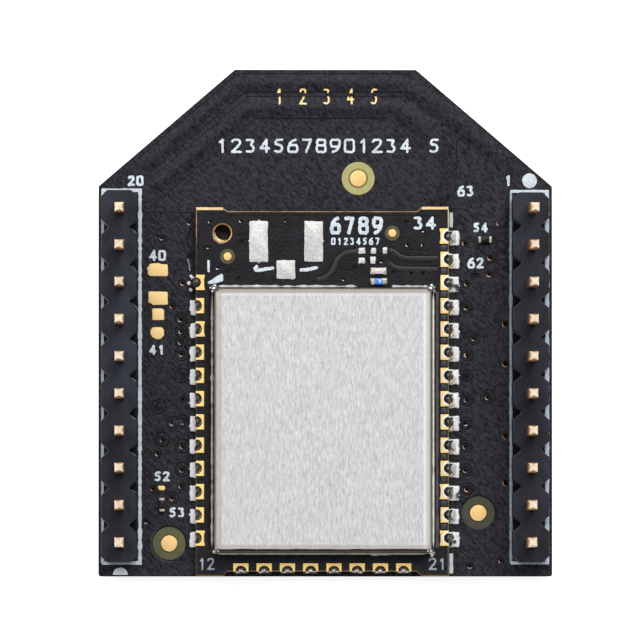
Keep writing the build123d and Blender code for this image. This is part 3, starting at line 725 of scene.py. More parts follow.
def drape(shape):
    # What lies on the carrier's face follows its swells
    points, faces, caps = shape
    points = points.copy()
    points[:, 2] += swellAt(points[:, 0], points[:, 1])
    return points, faces, caps


def makeSwells():
    # One grid over the face, kept only where the lacquer stands above the plain film
    step = relief["swellStep"]
    x = np.arange(carrierLow[0] + 0.1, carrierHigh[0] - 0.1, step)
    y = np.arange(0.0, carrierHigh[1] - 0.1, step)
    gridX, gridY = np.meshgrid(x, y)
    rise = swellAt(gridX, gridY)
    faces = gridFaces(len(y), len(x), closeColumns=False)
    keep = (rise.ravel()[faces].max(1) > 1e-6) & (insideBy(gridX, gridY).ravel()[faces].min(1) > 0.04)
    used, faces = np.unique(faces[keep], return_inverse=True)
    points = np.stack([gridX, gridY, carrierTop - 0.0015 + rise], -1).reshape(-1, 3)[used]
    newPiece("carrierSwells", (points, faces.reshape(-1, 4), []), boardMask, sharp=180)


def gapLine(pixels, level, width=None):
    # A gap in the copper: a hair-thin darker strip, flush with the lacquer
    half = (width or relief["lineWidth"]) / 2
    profile = ridge(half, half, -0.01, relief["lineRise"])
    return ribbon(spots(pixels, level), profile, step=0.2, wander=0.12, base=level)


def ridgeLine(pixels, level, width=None, height=None):
    # A covered track: a low ridge with sloping sides
    half = (width or relief["trackWidth"]) / 2
    height = height or relief["trackHeight"]
    profile = [(-half - 0.05, -0.01), (-half - 0.02, height * 0.35), (-half + 0.02, height),
               (half - 0.02, height), (half + 0.02, height * 0.35), (half + 0.05, -0.01)]
    return ribbon(spots(pixels, level), profile, step=0.1, base=level)


def arcPixels(x, y, radius, start, stop):
    # An arc in photo pixels, whose Y runs down
    return arcLine(radius, start, stop, 14) * (1, -1) + (x, y)


def makeCarrierRelief():
    # Covered tracks as ridges, bare gaps as thin dark lines, and the broad swells
    broad = [
        [(402.5, 91.8), (244.6, 91.8)],
        [(388.1, 118.2), (255.3, 118.2)],
    ]
    gaps = [
        [(407, 73.5), (238, 73.5), (139, 157.5)],
        [(244.6, 91.8), (151.2, 171.7)],
        [(398, 96.3), (248, 96.3), (153, 176.5)],
        [(255.3, 118.2), (163.5, 196.2)],
        [(463.1, 135.7), (456.7, 142.1), (455.9, 190.7), (447.1, 199.5), (440, 205)],
        [(463.9, 136.5), (474, 143)],
        [(510.4, 161), (510.4, 187)],
        [(142, 212.5), (194, 212.5)],
        [(151.2, 177.9), (165, 195.5)],
        arcPixels(205, 239.5, 17.5, 120, 240),
        [(449, 210), (461, 208), (469, 212), (474, 220)],
        [(458, 222), (464, 225), (464, 233)],
        [(484, 243), (483, 250), (478, 255)],
        [(497, 243), (498, 250), (494, 262), (484, 266)],
        [(172, 293), (172, 300), (178, 306), (188, 306)],
        [(172, 262), (186, 262), (190, 268)],
        [(176, 380), (161, 400)],
        [(186, 347), (187.5, 352), (188.5, 368)],
        arcPixels(182.5, 422, 7.5, 40, 140),
        [(188.5, 432), (188.5, 440), (184, 441)],
        arcPixels(182.5, 446.5, 8, 300, 420),
        [(188.5, 456), (188.5, 463), (184, 465)],
        [(186, 500), (186, 506)],
        [(460, 323), (464, 325), (471, 331)],
        [(460, 331.5), (463, 333), (468, 338)],
    ]
    tracks = [
        [(181.5, 376), (158.5, 407)],
        [(460, 327.5), (463, 328.5), (470, 334.5)],
        [(172, 423), (182.5, 422)],
    ]
    covered = [ridgeLine(line, carrierTop) for line in tracks]
    newPiece("carrierTracks", covered, boardMask, sharp=60)
    shapes = [gapLine(line, carrierTop, 0.095) for line in broad]
    shapes += [gapLine(line, carrierTop) for line in gaps]
    shapes.append(stamp(annulus(0.23, 0.27, carrierTop - 0.01, carrierTop + 0.024, 0.002, 28), *doubleVia.T))
    newPiece("carrierGaps", drape(joinShapes(shapes)), gapAndShadeLacquer)
    makeSwells()


makeCarrierRelief()


# Radio board: bare laminate with smooth half-holes, under a slightly smaller lacquer film

contacts = {"pitch": 1.25, "lastHeight": 2.03, "left": 12, "right": 14, "bottom": 8, "hole": 0.3,
            "landWidth": 0.82, "landDepth": 0.44, "copper": 0.035, "tabLength": 1.45, "tabHeight": 0.24,
            "earReach": 0.04, "earWidth": 0.17, "landShift": -0.08, "leftLand": 0.31, "rightLand": 0.585,
            "bottomLand": 0.12, "leftTabRise": 0.03, "rightTabRise": 0.07, "recessRise": 0.06,
            "groundLeft": (0, 2, 11), "groundRight": (0, 11, 13), "paleDomes": (0, 9, 10, 12),
            "raggedEnds": (2, 11, 13)}
landTop, landUnder = radioTop + contacts["copper"], radioUnder - contacts["copper"]
notchedEnd = radioLow[1] + contacts["tabHeight"]


def sideContacts(side):
    # Contact places from the aerial end down, on the left for side -1 and the right for side 1
    count = contacts["left"] if side < 0 else contacts["right"]
    y = radioLow[1] + contacts["lastHeight"] + np.arange(count)[::-1] * contacts["pitch"]
    x = np.full(count, radioLow[0] if side < 0 else radioHigh[0])
    return np.stack([x, y], 1)


def endContacts():
    # Contact places along the lower end, from left to right
    x = radioMiddle[0] + (np.arange(contacts["bottom"]) - (contacts["bottom"] - 1) / 2) * contacts["pitch"]
    return np.stack([x, np.full(len(x), notchedEnd)], 1)


leftContacts = sideContacts(-1)
rightContacts = sideContacts(1)
bottomContacts = endContacts()


def bite(centre, radius, startAngle):
    # Half a circle that cuts into an edge, walked clockwise
    return arcLine(radius, startAngle, startAngle - 180, 13) + centre


def radioRing(shrink=0.0, tabShrink=0.0):
    # Counter-clockwise from the lower left: tabs stand proud, and each contact bites a half circle
    radius = contacts["hole"]
    low = radioLow + shrink
    high = radioHigh - shrink
    tab = contacts["tabLength"] - shrink
    slope = contacts["tabHeight"]
    lowEnd = notchedEnd + shrink
    highEnd = radioHigh[1] + contacts["recessRise"] - slope - shrink
    run = [[(low[0], low[1]), (low[0] + tab, low[1]), (low[0] + tab + slope, lowEnd)]]
    run += [bite(place + (0, shrink), radius, 180) for place in bottomContacts]
    run += [[(high[0] - tab - slope, lowEnd), (high[0] - tab, low[1]), (high[0], low[1])]]
    run += [bite(place - (shrink, 0), radius, 270) for place in rightContacts[::-1]]
    rightTop = radioHigh[1] + contacts["rightTabRise"] - tabShrink
    leftTop = radioHigh[1] + contacts["leftTabRise"] - tabShrink
    run += [[(high[0], rightTop), (high[0] - tab, rightTop), (high[0] - tab - slope, highEnd)]]
    run += [[(low[0] + tab + slope, highEnd), (low[0] + tab, leftTop), (low[0], leftTop)]]
    run += [bite(place + (shrink, 0), radius, 90) for place in leftContacts]
    return np.concatenate([np.asarray(part, float) for part in run])


radioDetail = {"film": 0.02, "border": 0.055, "tabBorder": 0.15, "viaRadius": 0.09}
hole = {"bore": 0.475, "filmBore": 0.508, "rim": 0.525, "inside": 0.455, "shineRadius": 0.405,
        "glintRadius": 0.56}
radioViaPixels = [(209.6, 222), (240.7, 221), (241.7, 240.2), (207.7, 247.4), (217.3, 267.9), (238.8, 278),
                  (285.2, 220.6), (406.1, 221), (422.8, 230.6), (407.5, 245), (422.8, 245), (354.4, 267.4),
                  (343.4, 279.4), (394.1, 271.3), (411.4, 272.7), (422.8, 272.7), (381.2, 261.2)]
radioVias = spots(radioViaPixels, radioTop)
holeLow, holeHigh = nodeBox("plated_hole")
holeCentre = ((holeLow + holeHigh) / 2)[:2]


def makeRadioBoard():
    # Laminate and film are cut by the same vias; each is an open cup, dark inside with painted shade, in a
    # dark ring of painted shade, most with a glint
    topFilm = radioTop - radioDetail["film"]
    bore, filmBore = (circleRing(hole[k], 40) + holeCentre for k in ("bore", "filmBore"))
    vias = [circleRing(radioDetail["viaRadius"], 12) + via for via in radioVias]
    cutPlate("radioCore", [radioRing(), bore] + vias, radioUnder, topFilm, laminate, nodes=["radio_board"])
    film = radioRing(radioDetail["border"], radioDetail["tabBorder"])
    cutPlate("radioFilm", [film, filmBore] + vias, topFilm, radioTop, radioMask, edge=0.008)
    floor = radioUnder + 0.2
    radius = radioDetail["viaRadius"]
    outer, inner, mouth = radius - 0.001, radius - 0.015, radioTop - 0.004
    cup = [(outer, floor), (outer, mouth), (inner, mouth), (inner, floor + 0.05), (0.015, floor + 0.04)]
    newPiece("radioViaBarrels", stamp(turned(cup, 12), *radioVias.T), copperBarrelShade)
    # A dark lip round each via: painted shade
    lip = annulus(radius, radius + 0.05, radioTop - 0.01, radioTop + 0.002, 0.002, 16)
    newPiece("radioViaRings", stamp(lip, *radioVias.T), gapAndShadeLacquer)
    # Pale silver arcs on the vias' lower left: painted glints
    lit = radioVias[rng.random(len(radioVias)) < 0.6]
    glints = [stamp(viaGlint(inner, 0.022), x, y, radioTop + 0.003, rng.normal(0, 25), rng.uniform(0.8, 1.1))
              for x, y in lit]
    newPiece("radioViaGlints", glints, silverSolderAndGlint)


def makeTabEdges():
    # Broken-off laminate is bright along the top of both tabs and the upper right edge
    tab, slope = contacts["tabLength"], contacts["tabHeight"]
    low, high = radioLow, radioHigh
    flat = [(-0.075, -0.03), (-0.07, 0.0), (0.075, 0.0), (0.08, -0.03)]
    thin = ridge(0.022, 0.018, -0.03, 0.0)
    inside = 0.085
    leftTop = high[1] + contacts["leftTabRise"]
    rightTop = high[1] + contacts["rightTabRise"]
    notch = high[1] + contacts["recessRise"] - slope - 0.03
    topLeft = [(low[0] + 0.02, leftTop - inside), (low[0] + tab, leftTop - inside)]
    topRight = [(high[0] - tab, rightTop - inside), (high[0] - 0.02, rightTop - inside)]
    recess = [(low[0] + tab, leftTop - 0.05), (low[0] + tab + slope, notch),
              (high[0] - tab - slope, notch), (high[0] - tab, rightTop - 0.05)]
    rightEdge = [(high[0] - 0.02, high[1] - 0.1), (high[0] - 0.02, rightContacts[0][1] + 0.45)]
    leftEdge = [(low[0] + 0.03, high[1] - 0.1), (low[0] + 0.03, high[1] - 1.6)]
    top = radioTop - 0.003
    shapes = [ribbon(path, flat, step=0.1, wander=0.06, base=top) for path in (topLeft, topRight)]
    shapes.append(ribbon(rightEdge, thin, step=0.12, wander=0.2, base=top))
    newPiece("radioTabEdges", shapes, laminateEdge)
    shapes = [ribbon(path, thin, step=0.12, wander=0.3, base=top) for path in (recess, leftEdge)]
    newPiece("radioRecessEdges", shapes, laminateGold)
    margin = contacts["landWidth"] / 2 + 0.02
    starts = np.append(leftContacts[:, 1] - margin, high[1] - 2.0)
    stops = np.append(np.append(leftContacts[1:, 1] + margin, low[1] + 0.05), leftContacts[0, 1] + margin)
    narrow = [(-0.03, -0.03), (-0.026, 0.0), (0.02, 0.0), (0.03, -0.03)]
    x = low[0] + 0.032
    shapes = [ribbon([(x, start), (x, stop)], narrow, step=0.1, wander=0.2, base=top)
              for start, stop in zip(starts, stops)]
    newPiece("radioLeftBorder", shapes, laminateDim)
    patch = raggedPlate(boxRing(0.30, 0.24, 0.04), radioTop - 0.01, radioTop + 0.003, 0.002, 0.01, 0.06)
    middles = (rightContacts[:-1, 1] + rightContacts[1:, 1]) / 2
    newPiece("radioEdgePatches", stamp(patch, np.full(len(middles), high[0] - 0.27), middles), edgeLacquerAndHighlight)


def makePlatedHole():
    # A gold liner with a thin rim; painted highlight on its lower-left wall and a painted glint arc outside it
    low, top = holeLow[2], holeHigh[2]
    bore, rim, inner = (hole[k] for k in ("bore", "rim", "inside"))
    profile = [(bore, low), (bore, top - 0.03), (rim, top - 0.03), (rim, top - 0.008), (0.515, top),
               (bore, top), (inner, top - 0.012), (inner, low)]
    liner = stamp(turned(profile, 48, closed=True), *holeCentre)
    newPiece("platedHole", liner, goldBarrel, ["plated_hole"])
    inside, outside = (arcLine(hole[k], 170, 300, 20) + holeCentre for k in ("shineRadius", "glintRadius"))
    # Painted highlight on the lower-left wall inside the hole
    shine = ribbon(inside, [(-0.05, -0.1), (-0.04, 0.0), (0.03, 0.0), (0.05, -0.1)], step=0.05, taper=0.45,
                   base=top - 0.05)
    newPiece("platedHoleShine", shine, goldCream)
    # Painted glint: a pale arc on the board beyond the hole's lower left
    rim = ribbon(outside, ridge(0.03, 0.015, -0.03, 0.0), step=0.05, wander=0.3, taper=0.4,
                 base=radioTop + 0.012)
    newPiece("platedHoleGlint", rim, brightSolderAndGlint)


makeRadioBoard()
makeTabEdges()
makePlatedHole()
print("radio board made")


# Contacts: a gold land with a half-round bite, and a half barrel down the board's edge

def landShape(flared):
    # Origin on the edge line, board on the +X side; the outline runs round the bite
    depth, half, radius = contacts["landDepth"], contacts["landWidth"] / 2, contacts["hole"] - 0.01
    outline = [[(0.0, half)], bite(np.zeros(2), radius, 90), [(0.0, -half)]]
    if flared:
        ear, width = depth + contacts["earReach"], contacts["earWidth"]
        outline.append([(ear, -half), (ear, -half + width * 0.55), (depth, -half + width * 1.25)])
        outline.append([(depth, half - width * 1.25), (ear, half - width * 0.55), (ear, half)])
    else:
        outline.append([(depth, -half), (depth, half)])
    ring = np.concatenate([np.asarray(part, float) for part in outline])
    return plate(ring, -0.012, contacts["copper"], 0.012)


def barrelShape():
    # Half an annulus, extruded from the under land to just below the upper one
    outer, inner = contacts["hole"] + 0.002, contacts["hole"] - contacts["copper"]
    ring = np.concatenate([arcLine(outer, -90, 90, 17), arcLine(inner, -90, 90, 17)[::-1]])
    low, high = landUnder, landTop - 0.004
    return stackRings(np.stack([lift(ring, low), lift(ring, high)]))


def underLand():
    # The same land on the board's lower face, a little deeper and without ears
    half = contacts["landWidth"] / 2
    cut = bite(np.zeros(2), contacts["hole"] - 0.01, 90)
    outline = [[(0.0, half)], cut, [(0.0, -half), (0.75, -half), (0.75, half)]]
    ring = np.concatenate([np.asarray(part, float) for part in outline])
    return stackRings(np.stack([lift(ring, landUnder), lift(ring, radioUnder)]))


def makeContacts():
    # Lands above and below, and a half barrel between them, stamped at every contact and turned to its side
    plain, flared, barrel, under = landShape(False), landShape(True), barrelShape(), underLand()
    shapes = []
    barrels = []
    for places, turn, ground in ((leftContacts, 0, contacts["groundLeft"]),
                                 (rightContacts, 180, contacts["groundRight"]), (bottomContacts, 90, ())):
        isGround = np.isin(np.arange(len(places)), ground)
        for shape, chosen in ((plain, places[~isGround]), (flared, places[isGround])):
            if len(chosen):
                shapes.append(stamp(shape, *chosen.T, radioTop, turn))
        shapes.append(stamp(under, *places.T, 0, turn))
        barrels.append(stamp(barrel, *places.T, 0, turn))
    newPiece("contactLands", shapes, contactGold, ["edge_contacts"])
    newPiece("contactBarrels", barrels, goldBarrel)


makeContacts()


# Solder at the contacts: a collar on the land, a filled half-hole and a run down to the carrier land

def moundShape(reach, climb, spread=0.40, hollow=1.5, inner=0.26):
    # Polar rings from the crown to the foot, facing +X: on the board's side the foot keeps to the
    # half-hole and the surface stays high, and outwards it sweeps down in a hollow curve
    angle = np.arange(40) * 2 * math.pi / 40
    outward = np.clip(np.cos(angle) * 1.4, 0, 1)
    outward = outward * outward * (3 - 2 * outward)
    box = 1 / np.maximum(np.abs(np.cos(angle)) / reach, np.abs(np.sin(angle)) / spread)
    radius = inner + (box - inner) * outward
    share = np.concatenate([np.linspace(0.04, 0.75, 9), np.linspace(0.82, 1, 5)])[:, None]
    falling = climb * (1 - share) ** hollow
    standing = climb * (1 - 0.22 * share ** 2)
    height = falling * outward + standing * (1 - outward)
    x = share * radius * np.cos(angle)
    y = share * radius * np.sin(angle)
    rings = np.stack([x, y, height], -1)
    foot = rings[-1:] * (1, 1, 0) - (0, 0, 0.01)
    return stackRings(np.concatenate([foot, rings[::-1]]))


def nubAt(x, y, radius, low, high):
    # A small crumb of solder: straight sides under a rounded top
    profile = [(radius, low), (radius, high * 0.6 + low * 0.4), (radius * 0.6, high), (radius * 0.1, high)]
    return stamp(turned(profile, 14), x, y)


def solderPad(width, length, high):
    # A ragged skin of solder over the land, a little thinner at its rim
    return raggedPlate(boxRing(width, length, 0.05), carrierTop, high, 0.05, 0.014, 0.07)


def makeLeftSolder():
    # Each half-hole holds a high dark mound with a glint; the first one has a round ball
    level = carrierTop + contacts["copper"]
    reach, tuck = contacts["leftLand"], 0.30
    pads, mounds, arcs, rings = [], [], [], []
    for x, y in leftContacts[1:]:
        pad = solderPad(reach + tuck, contacts["landWidth"] + rng.normal(0, 0.02), level + 0.14)
        pads.append(stamp(pad, x + (tuck - reach) / 2, y + contacts["landShift"]))
        stub = y + contacts["landShift"] + rng.uniform(-0.15, 0.15)
        pads.append(nubAt(x - reach + 0.01, stub, rng.uniform(0.05, 0.085), carrierTop, level + 0.02))
        mound = moundShape(rng.uniform(0.01, 0.03), rng.uniform(0.95, 0.99), 0.27, 0.6, 0.325)
        mounds.append(stamp(mound, x + 0.03, y, level, 180 + rng.normal(0, 4)))
        turn = rng.normal(0, 8)
        arc = collarShape(0.20, 0.245, -85 + turn, 5 + turn, 0.045, 0.25)
        arcs.append(stamp(arc, x + 0.03, y, landTop + 0.005))
        # A dark ring of painted shade round the half-hole's edge
        ring = collarShape(0.25, 0.325, -92, 92, 0.005, 0.08)
        rings.append(stamp(ring, x + 0.01, y, landTop))
    ball = [(0.24, 0.0), (0.27, 0.3), (0.285, 0.62), (0.265, 0.80), (0.19, 0.92), (0.09, 0.97), (0.01, 0.98)]
    mounds.append(stamp(turned(ball, 28), *leftContacts[0], level))
    crumbs = spots([(191, 276.5), (189, 283.5), (191, 290), (193, 278.5)], level)
    pads += [nubAt(x, y, rng.uniform(0.09, 0.13), carrierTop, level + 0.25) for x, y in crumbs]
    newPiece("leftSolderPads", pads, silverSolderAndGlint, ["carrier_contact_lands"], sharp=60)
    newPiece("leftSolderMounds", mounds, solderOlive, ["contact_solder_left"], sharp=70)
    newPiece("leftSolderArcs", arcs, oliveGlint, sharp=70)
    newPiece("leftSolderRings", rings, nearBlackFinish, sharp=70)


def makeRightSolder():
    # Most half-holes hold a dark ball with a cream crescent of painted highlight; a few flow on as a pale
    # dome or lie ragged
    level = carrierTop + contacts["copper"]
    reach, tuck = contacts["rightLand"], 0.28
    crest = ridge(0.05, 0.03, 0.0, 0.62)
    pads, balls, domes, crescents, collars, rings = [], [], [], [], [], []

    def addBar(path, least, most):
        # A short crest over the ball or dome just placed, cream as a painted highlight
        bar = ribbon(path, crest, step=0.04, wander=0.25, taper=0.3)
        spot = (x, y + rng.normal(0, 0.02), level, rng.normal(0, 6))
        crescents.append(stamp(bar, *spot, rng.uniform(least, most)))

    for number, (x, y) in enumerate(rightContacts):
        padY = y + contacts["landShift"]
        pad = solderPad(reach + tuck, contacts["landWidth"] + 0.01 + rng.normal(0, 0.012), level + 0.08)
        pads.append(stamp(pad, x + (reach - tuck) / 2, padY))
        stub = padY + rng.uniform(-0.12, 0.12)
        pads.append(nubAt(x + reach, stub, rng.uniform(0.03, 0.06), carrierTop, level + 0.02))
        ball = moundShape(rng.uniform(0.25, 0.29), rng.uniform(0.84, 0.90), rng.uniform(0.29, 0.32), 0.7, 0.25)
        balls.append(stamp(ball, x, y - 0.01, level, rng.normal(0, 5)))
        if number in contacts["paleDomes"]:
            dome = moundShape(rng.uniform(0.44, 0.48), 0.72, rng.uniform(0.31, 0.33), 1.3, 0.20)
            domes.append(stamp(dome, x + 0.02, y - 0.03, level + 0.04, rng.normal(0, 3)))
            rings.append(nubAt(x + 0.05, y - 0.30, rng.uniform(0.06, 0.08), carrierTop, level + 0.5))
            addBar([(0.06, -0.44), (0.16, -0.36), (0.25, -0.24)], 0.7, 0.95)
        elif number not in contacts["raggedEnds"]:
            # A cream arc on the ball's lower right: painted highlight
            lip = [(-0.03, 0.0), (-0.02, 0.35), (0.02, 0.35), (0.035, 0.0)]
            arc = ribbon(arcLine(0.31, -80, 15, 9), lip, step=0.05, wander=0.25, taper=0.3)
            crescents.append(stamp(arc, x, y - 0.02, level))
            addBar([(0.02, -0.45), (0.10, -0.37), (0.18, -0.24)], 0.85, 1.05)
        else:
            crumbs = rng.normal(0, 0.13, (7, 2)) + (x + 0.28, padY)
            balls += [nubAt(*crumb, rng.uniform(0.05, 0.11), carrierTop, level + rng.uniform(0.15, 0.4))
                      for crumb in crumbs]
        turn = rng.normal(-4, 5)
        collar = collarShape(0.262, 0.375 + rng.normal(0, 0.01), -90 + turn, 92 + turn, 0.022, 0.12)
        collars.append(stamp(collar, x, y, landTop, 180))
        # A dark ring of painted shade between the ball and the collar
        ring = collarShape(0.222, 0.268, -90, 90, 0.012, 0.1)
        rings.append(stamp(ring, x, y, landTop, 180))
    newPiece("rightSolderPads", pads, solderWhite, sharp=60)
    newPiece("rightSolderMounds", balls, solderDark, ["contact_solder_right"], sharp=70)
    newPiece("rightSolderDomes", domes, solderDome, sharp=70)
    newPiece("rightSolderCrescents", crescents, goldCream, sharp=70)
    newPiece("rightSolderCollars", collars, silverSolderAndGlint, sharp=70)
    newPiece("rightSolderRings", rings, nearBlackFinish, sharp=70)


def makeBottomSolder():
    # Low grey mounds under a dark ring of painted shade, each with a bright rim across its top
    level = carrierTop + contacts["copper"]
    pads, mounds, rims, rings = [], [], [], []
    bow, crest = [(-0.17, -0.05), (0.0, 0.02), (0.17, -0.05)], ridge(0.03, 0.02, -0.1, 0.0)
    for x, y in bottomContacts:
        ring = boxRing(contacts["landWidth"] - 0.06, contacts["bottomLand"] + 0.3, 0.04)
        pads.append(stamp(plate(ring, carrierTop, level + 0.01, 0.02), x, y - contacts["bottomLand"] + 0.21))
        mound = moundShape(rng.uniform(0.05, 0.08), rng.uniform(0.76, 0.84), 0.25, 0.7, 0.272)
        mounds.append(stamp(mound, x, y, level, 270 + rng.normal(0, 5)))
        ring = collarShape(0.252, 0.318, 0, 180, 0.005, 0.1)
        rings.append(stamp(ring, x, y, landTop))
        bar = ribbon(bow, crest, step=0.05, wander=0.3, taper=0.3)
        spot = (x, y + rng.normal(0.0, 0.02), level + 0.83, rng.normal(0, 8))
        rims.append(stamp(bar, *spot, rng.uniform(0.45, 0.7)))
    newPiece("bottomSolderPads", pads, solderDark)
    newPiece("bottomSolderMounds", mounds, solderGrey, ["contact_solder_bottom"], sharp=70)
    newPiece("bottomSolderRims", rims, solderGrey, sharp=70)
    newPiece("bottomSolderRings", rings, nearBlackFinish, sharp=70)


makeLeftSolder()
makeRightSolder()
makeBottomSolder()
print("contacts soldered")


# Shield can: one flat blank folded down on four sides, open at its corners

can = {"bend": 0.42, "leftBend": 0.58, "rise": 0.20, "leftTuck": 0.04, "sheet": 0.15, "holeWidth": 1.8,
       "holeHeight": 0.35, "holeOffset": 2.82, "sag": 0.010, "cornerRadius": 0.30}


def shieldOutline(reach):
    # Counter-clockwise rounded rectangle with many points on each side; reach runs from 0 at the
    # edge of the flat top to 1 at the walls, and the left side bends over a wider strip
    low, high = shieldLow.copy(), shieldHigh.copy()
    low[0] += can["leftTuck"]
    low[0] += can["leftBend"] * (1 - reach)
    high[0] -= can["bend"] * (1 - reach)
    low[1] += can["bend"] * (1 - reach)
    high[1] -= can["bend"] * (1 - reach)
    radius = can["cornerRadius"] * (0.35 + 0.65 * reach)
    sides = []
    middles = [(high[0] - radius, low[1] + radius, 270), (high[0] - radius, high[1] - radius, 0),
               (low[0] + radius, high[1] - radius, 90), (low[0] + radius, low[1] + radius, 180)]
    for x, y, start in middles:
        sides.append(arcLine(radius, start, start + 90, 10) + (x, y))
    ring = []
    for arc, following in zip(sides, sides[1:] + sides[:1]):
        run = np.linspace(0, 1, 42)[1:-1, None]
        ring += [arc, arc[-1] + (following[0] - arc[-1]) * run]
    return np.concatenate(ring)


def foldedSheet():
    # Rings from the middle of the top outwards, round the bend, then down the walls; faces in the
    # middle of each corner's wall and in the mouse hole are left out
    height = shieldHigh[2] - shieldLow[2]
    flat = shieldOutline(0)
    centre = flat.mean(0)
    rings = []
    for share in np.concatenate([[0.02], np.linspace(0.1, 1, 16)]):
        ring = centre + (flat - centre) * share
        wave = 0.5 * np.sin(ring[:, 0] * 1.3 + 0.6) * np.sin(ring[:, 1] * 0.9 + 1.1) - 0.5
        rings.append(lift(ring, shieldHigh[2] + can["sag"] * wave * (1 - share ** 6)))
    for reach, drop in ((0.1, 0.0), (0.2, 0.001), (0.66, 0.006), (0.70, 0.007), (0.75, 0.013), (0.88, 0.05),
                        (0.96, 0.12), (1.0, can["rise"])):
        rings.append(lift(shieldOutline(reach), shieldHigh[2] - drop))
    wall = shieldOutline(1)
    for drop in np.linspace(can["rise"], height, 7)[1:]:
        rings.append(lift(wall, shieldHigh[2] - drop))
    rings = np.stack(rings)
    rows, columns = rings.shape[:2]
    faces = gridFaces(rows, columns)
    row = np.repeat(np.arange(rows - 1), columns)
    column = np.tile(np.arange(columns), rows - 1)
    inSlit = (column % (columns // 4) >= 4) & (column % (columns // 4) < 5) & (row >= 21)
    middle = rings.reshape(-1, 3)[faces].mean(1)
    inHole = (np.abs(middle[:, 0] - shieldMiddle[0] - can["holeOffset"]) < can["holeWidth"] / 2)
    inHole &= (middle[:, 1] > shieldHigh[1] - 0.05) & (middle[:, 2] < shieldLow[2] + can["holeHeight"])
    return rings.reshape(-1, 3), faces[~(inSlit | inHole)][:, ::-1], [np.arange(columns)]


def makeShield():
    # The folded sheet gets its wall inwards
    piece = newPiece("shieldCan", foldedSheet(), shieldTin, ["shield_can"], sharp=60)
    thick = piece.modifiers.new("sheet", "SOLIDIFY")
    thick.thickness = can["sheet"] * mm
    thick.offset = -1
    thick.use_quality_normals = True


def makeShieldSolder():
    # Uneven beads along the foot, a flat-crested one on the right, painted shade over the lower side's fold,
    # a painted shadow strip and a painted highlight strip on the board beside the can, and drops and crumbs
    # at its corners
    low, high = shieldLow - 0.02, shieldHigh + 0.02
    gapLow = shieldMiddle[0] + can["holeOffset"] - can["holeWidth"] / 2
    gapHigh = shieldMiddle[0] + can["holeOffset"] + can["holeWidth"] / 2
    base = radioTop

    def bead(path, width, height, wander):
        # A lopsided crest, highest left of its middle, along a path
        half = width / 2
        profile = [(-half, base - 0.005), (-half * 0.8, base + height * 0.55), (-half * 0.1, base + height),
                   (half * 0.6, base + height * 0.75), (half, base - 0.005)]
        return ribbon(path, profile, step=0.09, wander=wander, taper=0.03)

    out = 0.07
    bright = [
        bead([(low[0] + 0.2, high[1] + out), (gapLow, high[1] + out)], 0.16, 0.2, 0.22),
        bead([(gapHigh, high[1] + out), (high[0] - 0.2, high[1] + out)], 0.16, 0.2, 0.22),
        bead([(shieldMiddle[0] + 2.6, low[1] - 0.10), (shieldMiddle[0] + 3.7, low[1] - 0.10)], 0.10, 0.1, 0.4),
    ]
    foot = [bead([(high[0] - 0.15, low[1] - 0.03), (low[0] + 0.15, low[1] - 0.03)], 0.13, 0.45, 0.05),
            bead([(low[0] - 0.05, low[1] + 0.25), (low[0] - 0.05, high[1] - 0.25)], 0.13, 0.26, 0.20)]
    # A dark ribbon of painted shade lies along the lower side's fold
    wall = shieldLow[1]
    slope = [(-0.19, -0.03), (-0.19, 0.001), (-0.143, -0.001), (-0.126, -0.003), (-0.105, -0.008),
             (-0.05, -0.044), (-0.017, -0.113), (0.003, -0.19), (0.004, -0.30)]
    fold = ribbon([(low[0] + 0.30, wall), (high[0] - 0.27, wall)], slope, step=0.3, wander=0.05,
                  base=shieldHigh[2])
    newPiece("shieldFoldShade", fold, foldShade)
    newPiece("shieldFootBead", foot, footBead, sharp=70)
    crest = [(-0.065, base - 0.005), (-0.05, base + 0.33), (-0.035, base + 0.38), (0.04, base + 0.38),
             (0.055, base + 0.33), (0.075, base - 0.005)]
    x = high[0] + 0.095
    side = ribbon([(x, high[1] - 0.25), (x, low[1] + 0.25)], crest, step=0.09, wander=0.08, taper=0.03)
    newPiece("shieldSideBead", side, footBead, sharp=70)
    # A painted shadow: a dark strip on the board along the can's left side
    flat = ridge(0.045, 0.04, -0.01, 0.006)
    shade = ribbon(spots([(209.4, 290), (209.4, 549)], base), flat, step=0.1, wander=0.15, base=base)
    newPiece("shieldShade", shade, gapAndShadeLacquer)
    # A painted highlight: a pale strip on the board along the can's right side
    wide = [(-0.09, -0.01), (-0.06, 0.006), (0.05, 0.006), (0.09, -0.01)]
    shine = ribbon(spots([(437.2, 292), (437.2, 548)], base), wide, step=0.1, wander=0.12, base=base)
    newPiece("shieldShine", shine, highlightLacquer)
    newPiece("shieldSolder", bright, solderWhite, ["shield_solder"], sharp=70)
    drop = turned([(0.17, -0.005), (0.17, 0.12), (0.13, 0.24), (0.07, 0.30), (0.02, 0.32)], 18)
    (west, south), (east, north) = shieldLow[:2], shieldHigh[:2]
    cornersX = np.array([west, east, east, west]) + (0.05, -0.03, -0.02, 0.02)
    cornersY = np.array([south, south, north, north]) + (0.05, 0.05, -0.02, -0.02)
    drops = [stamp(drop, cornersX, cornersY, base, rng.uniform(0, 90, 4), [0.9, 1.15, 1.3, 1.2])]
    bits = spots([(210.6, 288.4), (214.6, 286.3), (212.3, 291.4), (433.9, 287.4), (431.4, 285.6),
                  (434.5, 291.6), (433.6, 553.2), (431.8, 555.6), (215.4, 552.5)], base)
    drops += [nubAt(x, y, rng.uniform(0.08, 0.13), base - 0.005, base + rng.uniform(0.2, 0.34))
              for x, y in bits]
    newPiece("cornerDrops", drops, brightSolderAndGlint, sharp=70)


makeShield()
makeShieldSolder()
print("shield folded")


# Header strips and pins

